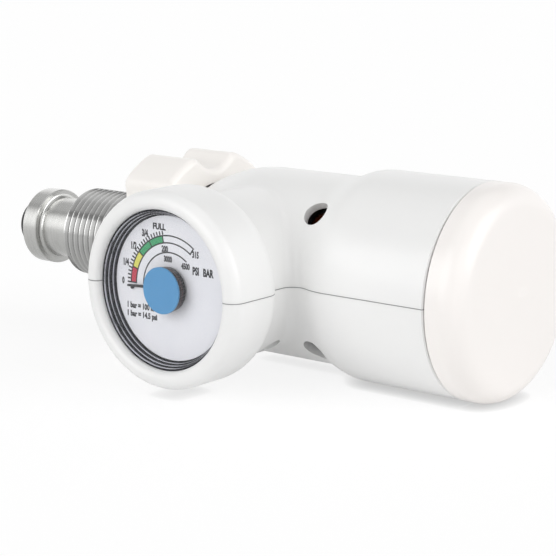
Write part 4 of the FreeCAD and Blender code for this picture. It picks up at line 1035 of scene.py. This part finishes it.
@dataclass(frozen=True)
class GaugeFace:
    """Print on the dial, in millimetres and degrees about the gauge axis as seen from the front."""

    centre_x: float = 82.0
    dial_y: float = -42.2
    band_inner: float = 10.45
    band_outer: float = 12.1
    line: float = 0.32
    psi_r: float = 8.25
    tick_start: float = 12.3
    tick_end: float = 13.2
    tick_width: float = 0.36
    bar_per_tick: float = 10.0
    ticks: int = 21
    degrees_per_bar: float = 125.5 / 315.0
    zero: float = 180.0
    red_end: float = 162.0
    yellow_end: float = 142.0
    three_quarters: float = 122.0
    full: float = 101.0
    band_end: float = 55.0
    psi_end: float = 54.0
    facet_degrees: float = 2.0
    film_foot: float = 0.004
    zone_top: float = 0.02
    arc_top: float = 0.03
    ink_top: float = 0.034
    capital_share: float = 0.70
    boldness: float = 0.045
    curve_steps: int = 3
    letter_weld: float = 1e-5
    note_x: float = -13.6
    note_z: tuple[float, float] = (-6.0, -8.0)
    note_height: float = 1.3
    note_condense: float = 0.80

    def frame_of(self, lift: float) -> Matrix:
        """Matrix from the flat print to the dial, lifted off the plate by a height in mm."""
        place = Vector((self.centre_x, self.dial_y - lift, 0.0)) * MM
        return Matrix.Translation(place) @ Matrix.Rotation(math.radians(90.0), 4, "X")

    def sector(self, tool: bmesh.types.BMesh, inner: float, outer: float, start: float, end: float) -> None:
        """Adds a flat ring sector.

        Args:
            tool: Bmesh to add to.
            inner: Inner radius.
            outer: Outer radius.
            start: First angle in degrees.
            end: Last angle in degrees.
        """
        ray = Matrix.Rotation(math.radians(start), 4, "Z")
        vertices = [tool.verts.new(ray @ (Vector((r, 0.0, 0.0)) * MM)) for r in (inner, outer)]
        edge = tool.edges.new(vertices)
        bmesh.ops.spin(
            tool,
            geom=[*vertices, edge],
            cent=(0.0, 0.0, 0.0),
            axis=(0.0, 0.0, 1.0),
            angle=math.radians(end - start),
            steps=max(1, math.ceil(abs(end - start) / self.facet_degrees)),
        )

    def ray_line(
        self, tool: bmesh.types.BMesh, degrees: float, inner: float, outer: float, width: float
    ) -> None:
        """Adds a straight line that runs outwards.

        Args:
            tool: Bmesh to add to.
            degrees: Its angle.
            inner: Where it starts.
            outer: Where it ends.
            width: Its width.
        """
        turn = Matrix.Rotation(math.radians(degrees), 4, "Z")
        middle = Matrix.Translation(Vector((0.5 * (inner + outer), 0.0, 0.0)) * MM)
        size = Matrix.Diagonal((0.5 * (outer - inner) * MM, 0.5 * width * MM, 1.0, 1.0))
        bmesh.ops.create_grid(tool, x_segments=1, y_segments=1, size=1.0, matrix=turn @ middle @ size)

    def film(self, tool: bmesh.types.BMesh, name: str, top: float, material: bpy.types.Material) -> None:
        """Turns flat faces into a thin film of ink on the dial.

        Args:
            tool: Bmesh with the flat faces.
            name: Name of the piece.
            top: Height of its top above the plate.
            material: Its ink.
        """
        grown = bmesh.ops.extrude_face_region(tool, geom=list(tool.faces))
        raised = [part for part in grown["geom"] if isinstance(part, bmesh.types.BMVert)]
        bmesh.ops.translate(tool, verts=raised, vec=Vector((0.0, 0.0, (top - self.film_foot) * MM)))
        bmesh.ops.recalc_face_normals(tool, faces=tool.faces)
        bmesh.ops.transform(tool, matrix=self.frame_of(self.film_foot), verts=tool.verts)
        piece = add_piece(name, mesh_from(tool, name), "regulator")
        dress(piece, material)

    def zones(self, finishes: Finishes) -> None:
        """Prints the coloured part of the band.

        Args:
            finishes: Finishes to take the inks from.
        """
        spans = [
            ("dial_red_zone", self.zero, self.red_end, finishes.red),
            ("dial_yellow_zone", self.red_end, self.yellow_end, finishes.yellow),
            ("dial_green_zone", self.yellow_end, self.full, finishes.green),
        ]
        for name, start, end, material in spans:
            tool = bmesh.new()
            self.sector(tool, self.band_inner, self.band_outer, start, end)
            self.film(tool, name, self.zone_top, material)

    def scale_lines(self, finishes: Finishes) -> None:
        """Prints the outlines of the band, the inner arc and the ticks.

        Args:
            finishes: Finishes to take the ink from.
        """
        tool = bmesh.new()
        half = 0.5 * self.line
        for radius in (self.band_inner, self.band_outer):
            self.sector(tool, radius - half, radius + half, self.zero, self.band_end)
        self.sector(tool, self.psi_r - half, self.psi_r + half, self.zero, self.psi_end)
        self.film(tool, "dial_arcs", self.arc_top, finishes.ink)
        tool = bmesh.new()
        marks = (self.zero, self.red_end, self.yellow_end, self.three_quarters, self.full, self.band_end)
        for degrees in marks:
            self.ray_line(tool, degrees, self.band_inner - half, self.band_outer + half, self.line)
        for step in range(self.ticks):
            degrees = self.zero - self.degrees_per_bar * self.bar_per_tick * step
            self.ray_line(tool, degrees, self.tick_start, self.tick_end, self.tick_width)
        self.film(tool, "dial_ticks", self.ink_top, finishes.ink)

    def letters(self, tool: bmesh.types.BMesh, word: Word, place: Vector, centred: bool) -> None:
        """Adds one word to a bmesh.

        Args:
            tool: Bmesh to add to.
            word: The label.
            place: Its place on the flat print, in mm.
            centred: Whether the place is its middle, or else its lower left.
        """
        curve = bpy.data.curves.new("word", "FONT")
        curve.body = word.text
        curve.size = word.height / self.capital_share * MM
        curve.offset = self.boldness * curve.size
        curve.resolution_u = self.curve_steps
        curve.align_x = "CENTER" if centred else "LEFT"
        curve.align_y = "CENTER" if centred else "BOTTOM_BASELINE"
        holder = bpy.data.objects.new("word", curve)
        bpy.context.scene.collection.objects.link(holder)
        bpy.context.view_layer.update()
        mesh = bpy.data.meshes.new_from_object(holder.evaluated_get(bpy.context.evaluated_depsgraph_get()))
        mesh.transform(Matrix.Translation(place * MM) @ Matrix.Diagonal((word.condense, 1.0, 1.0, 1.0)))
        tool.from_mesh(mesh)
        bpy.data.objects.remove(holder)
        bpy.data.curves.remove(curve)
        bpy.data.meshes.remove(mesh)

    def words(self, finishes: Finishes) -> None:
        """Prints the numbers, the units and the two lines below.

        Args:
            finishes: Finishes to take the ink from.
        """
        tool = bmesh.new()
        for word in LABELS:
            angle = math.radians(word.degrees)
            place = Vector((word.reach * math.cos(angle), word.reach * math.sin(angle), 0.0))
            self.letters(tool, word, place, True)
        for text, z in zip(NOTES, self.note_z):
            note = Word(text, 0.0, 0.0, self.note_height, self.note_condense)
            self.letters(tool, note, Vector((self.note_x, z, 0.0)), False)
        bmesh.ops.remove_doubles(tool, verts=tool.verts, dist=self.letter_weld * MM)
        self.film(tool, "dial_words", self.ink_top, finishes.ink)

    def build(self, finishes: Finishes) -> None:
        """Prints the dial.

        Args:
            finishes: Finishes to take the inks from.
        """
        self.zones(finishes)
        self.scale_lines(finishes)
        self.words(finishes)


@dataclass(frozen=True)
class PointerStop:
    """Small pin that the pointer rests on, in millimetres and degrees."""

    centre_x: float = 82.0
    dial_y: float = -42.2
    reach: float = 11.6
    degrees: float = 185.6
    radius: float = 0.42
    length: float = 0.55
    rim: float = 0.1
    segments: int = 24
    sharp_angle: float = 60.0

    def build(self, finishes: Finishes) -> None:
        """Sets the pin in the dial.

        Args:
            finishes: Finishes to take its black from.
        """
        angle = math.radians(self.degrees)
        x = self.centre_x + self.reach * math.cos(angle)
        z = self.reach * math.sin(angle)
        place = Matrix.Translation(Vector((x, self.dial_y - 0.5 * self.length, z)) * MM)
        tool = bmesh.new()
        bmesh.ops.create_cone(
            tool,
            cap_ends=True,
            segments=self.segments,
            radius1=self.radius * MM,
            radius2=self.radius * MM,
            depth=self.length * MM,
            matrix=place @ Matrix.Rotation(math.radians(90.0), 4, "X"),
        )
        sharp = math.radians(self.sharp_angle)
        rims = [edge for edge in tool.edges if edge.calc_face_angle(0.0) > sharp]
        bmesh.ops.bevel(
            tool, geom=rims, offset=self.rim * MM, affect="EDGES", segments=2, profile=0.5, material=-1
        )
        piece = add_piece("pointer_stop", mesh_from(tool, "pointer_stop"), "regulator")
        dress(piece, finishes.pointer)


@dataclass(frozen=True)
class PhotoCamera:
    """Camera at the photograph's place, in metres and degrees, with its lens in millimetres."""

    location: Triple = (0.353979, -0.345693, 0.086296)
    lens: float = 118.87
    sensor: float = 36.0
    clip_start: float = 0.01
    yaw: float = 38.443
    pitch: float = -11.644
    roll: float = 0.0942

    def build(self) -> None:
        """Makes the camera and looks through it."""
        data = bpy.data.cameras.new("photo_camera")
        data.lens = self.lens
        data.sensor_width = self.sensor
        data.clip_start = self.clip_start
        camera = bpy.data.objects.new("photo_camera", data)
        bpy.context.scene.collection.objects.link(camera)
        turn = Euler((math.radians(90.0 + self.pitch), 0.0, math.radians(self.yaw))).to_matrix().to_4x4()
        roll = Matrix.Rotation(math.radians(self.roll), 4, "Z")
        camera.matrix_world = Matrix.Translation(self.location) @ turn @ roll
        bpy.context.scene.camera = camera


@dataclass(frozen=True)
class SunLamp:
    """Soft sun: the way it stands from +X, its height and the width of its disc, all in degrees."""

    name: str
    strength: float
    heading: float
    height: float
    spread: float

    def build(self) -> None:
        """Hangs the lamp."""
        data = bpy.data.lights.new(self.name, "SUN")
        data.energy = self.strength
        data.angle = math.radians(self.spread)
        lamp = bpy.data.objects.new(self.name, data)
        bpy.context.scene.collection.objects.link(lamp)
        yaw, lift = math.radians(self.heading), math.radians(self.height)
        towards = Vector((math.cos(lift) * math.cos(yaw), math.cos(lift) * math.sin(yaw), math.sin(lift)))
        lamp.matrix_world = towards.to_track_quat("Z", "Y").to_matrix().to_4x4()


SUNS = (
    SunLamp("key", 1.50, 14.0, 28.0, 50.0),
    SunLamp("front", 1.35, -105.0, 24.0, 50.0),
    SunLamp("spark", 0.14, -36.0, 36.0, 8.0),
    SunLamp("top", 0.24, 170.0, 68.0, 60.0),
)


@dataclass(frozen=True)
class Studio:
    """Pale floor and soft even light, in metres and shares of white."""

    floor_z: float = -0.025
    floor_half: float = 30.0
    floor_colour: Colour = (0.94, 0.94, 0.94, 1.0)
    floor_glow: float = 0.80
    floor_gloss: float = 0.4
    bounce: float = 0.15
    white: float = 1.05
    contact: float = 0.0028
    # share by which the painted contact shadow darkens the floor's glow
    painted_shadow_depth: float = 0.42
    contact_samples: int = 24
    ambient: float = 0.31
    gloss: float = 1.25
    belt: float = 0.85
    belt_rise: tuple[float, float] = (0.54, 0.64)
    ceiling: float = 0.45
    ceiling_rise: tuple[float, float] = (0.70, 0.80)

    def world(self) -> None:
        """Makes the surround: white as seen, dimmer as a light, with a belt and a ceiling in its gloss."""
        recipe = WorldRecipe("studio")
        path = recipe.node("ShaderNodeLightPath")
        direction = Field(recipe, recipe.node("ShaderNodeTexCoord").outputs["Generated"])
        parts = recipe.node("ShaderNodeSeparateXYZ", None, {0: direction})
        lift = Field(recipe, parts.outputs[2])
        over = lift.fade(*self.ceiling_rise)
        belt = lift.fade(*self.belt_rise) * (1.0 - over)
        overhead = belt * self.belt + over * self.ceiling
        through = Field(recipe, path.outputs["Is Transmission Ray"])
        gloss = Field(recipe, path.outputs["Is Glossy Ray"]).most(through) * (1.0 - overhead)
        seen = Field(recipe, path.outputs["Is Camera Ray"]).most(gloss * self.gloss)
        recipe.close(seen.most(self.ambient))

    def floor(self) -> None:
        """Lays the floor, which keeps the object's shadow, has a painted contact shadow darkening its glow
        near the object, and is white elsewhere.
        """
        tool = bmesh.new()
        place = Matrix.Translation((0.0, 0.0, self.floor_z))
        bmesh.ops.create_grid(tool, x_segments=1, y_segments=1, size=self.floor_half, matrix=place)
        piece = bpy.data.objects.new("floor", mesh_from(tool, "floor"))
        bpy.context.scene.collection.objects.link(piece)
        recipe = Recipe("floor_white")
        path = recipe.node("ShaderNodeLightPath")
        through = Field(recipe, path.outputs["Is Transmission Ray"])
        seen = Field(recipe, path.outputs["Is Camera Ray"]).most(through)
        seen = seen.most(Field(recipe, path.outputs["Is Glossy Ray"]) * self.floor_gloss)
        # painted contact shadow: ambient occlusion darkens the floor's glow near the object
        near = recipe.node(
            "ShaderNodeAmbientOcclusion", {"samples": self.contact_samples}, {"Distance": self.contact}
        )
        glow_after_painted_shadow = 1.0 - (1.0 - Field(recipe, near.outputs["AO"])) * self.painted_shadow_depth
        matt = recipe.node("ShaderNodeBsdfDiffuse", None, {"Color": self.floor_colour})
        light = {"Color": recipe.mix(glow_after_painted_shadow, BLACK, WHITE), "Strength": self.white}
        glow = recipe.node("ShaderNodeEmission", None, light)
        share = (seen * self.floor_glow).most(self.bounce)
        shaders = {0: share, 1: Field(recipe, matt.outputs[0]), 2: Field(recipe, glow.outputs[0])}
        both = recipe.node("ShaderNodeMixShader", None, shaders)
        recipe.node("ShaderNodeOutputMaterial", None, {"Surface": Field(recipe, both.outputs[0])})
        dress(piece, recipe.material)

    def build(self) -> None:
        """Lights the set."""
        self.world()
        self.floor()
        for sun in SUNS:
            sun.build()


def main() -> None:
    """Builds and dresses every piece."""
    logging.basicConfig(level=logging.INFO, format="%(message)s")
    scene = bpy.context.scene
    scene.view_settings.view_transform = "Standard"
    finishes = Finishes()
    for node, material in finishes.by_node().items():
        dress(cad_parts[node], material)
        LOG.info("dressed %s", node)
    thread = InletThread()
    thread.dress(thread.build(), finishes)
    LOG.info("cut the inlet thread")
    for coil in COILS:
        coil.dress(coil.build(), finishes)
        LOG.info("set %s", coil.node)
    GaugeFace().build(finishes)
    LOG.info("printed the dial")
    PointerStop().build(finishes)
    LOG.info("set the pointer stop")
    PhotoCamera().build()
    Studio().build()
    LOG.info("set the studio")


if __name__ == "__main__":
    main()
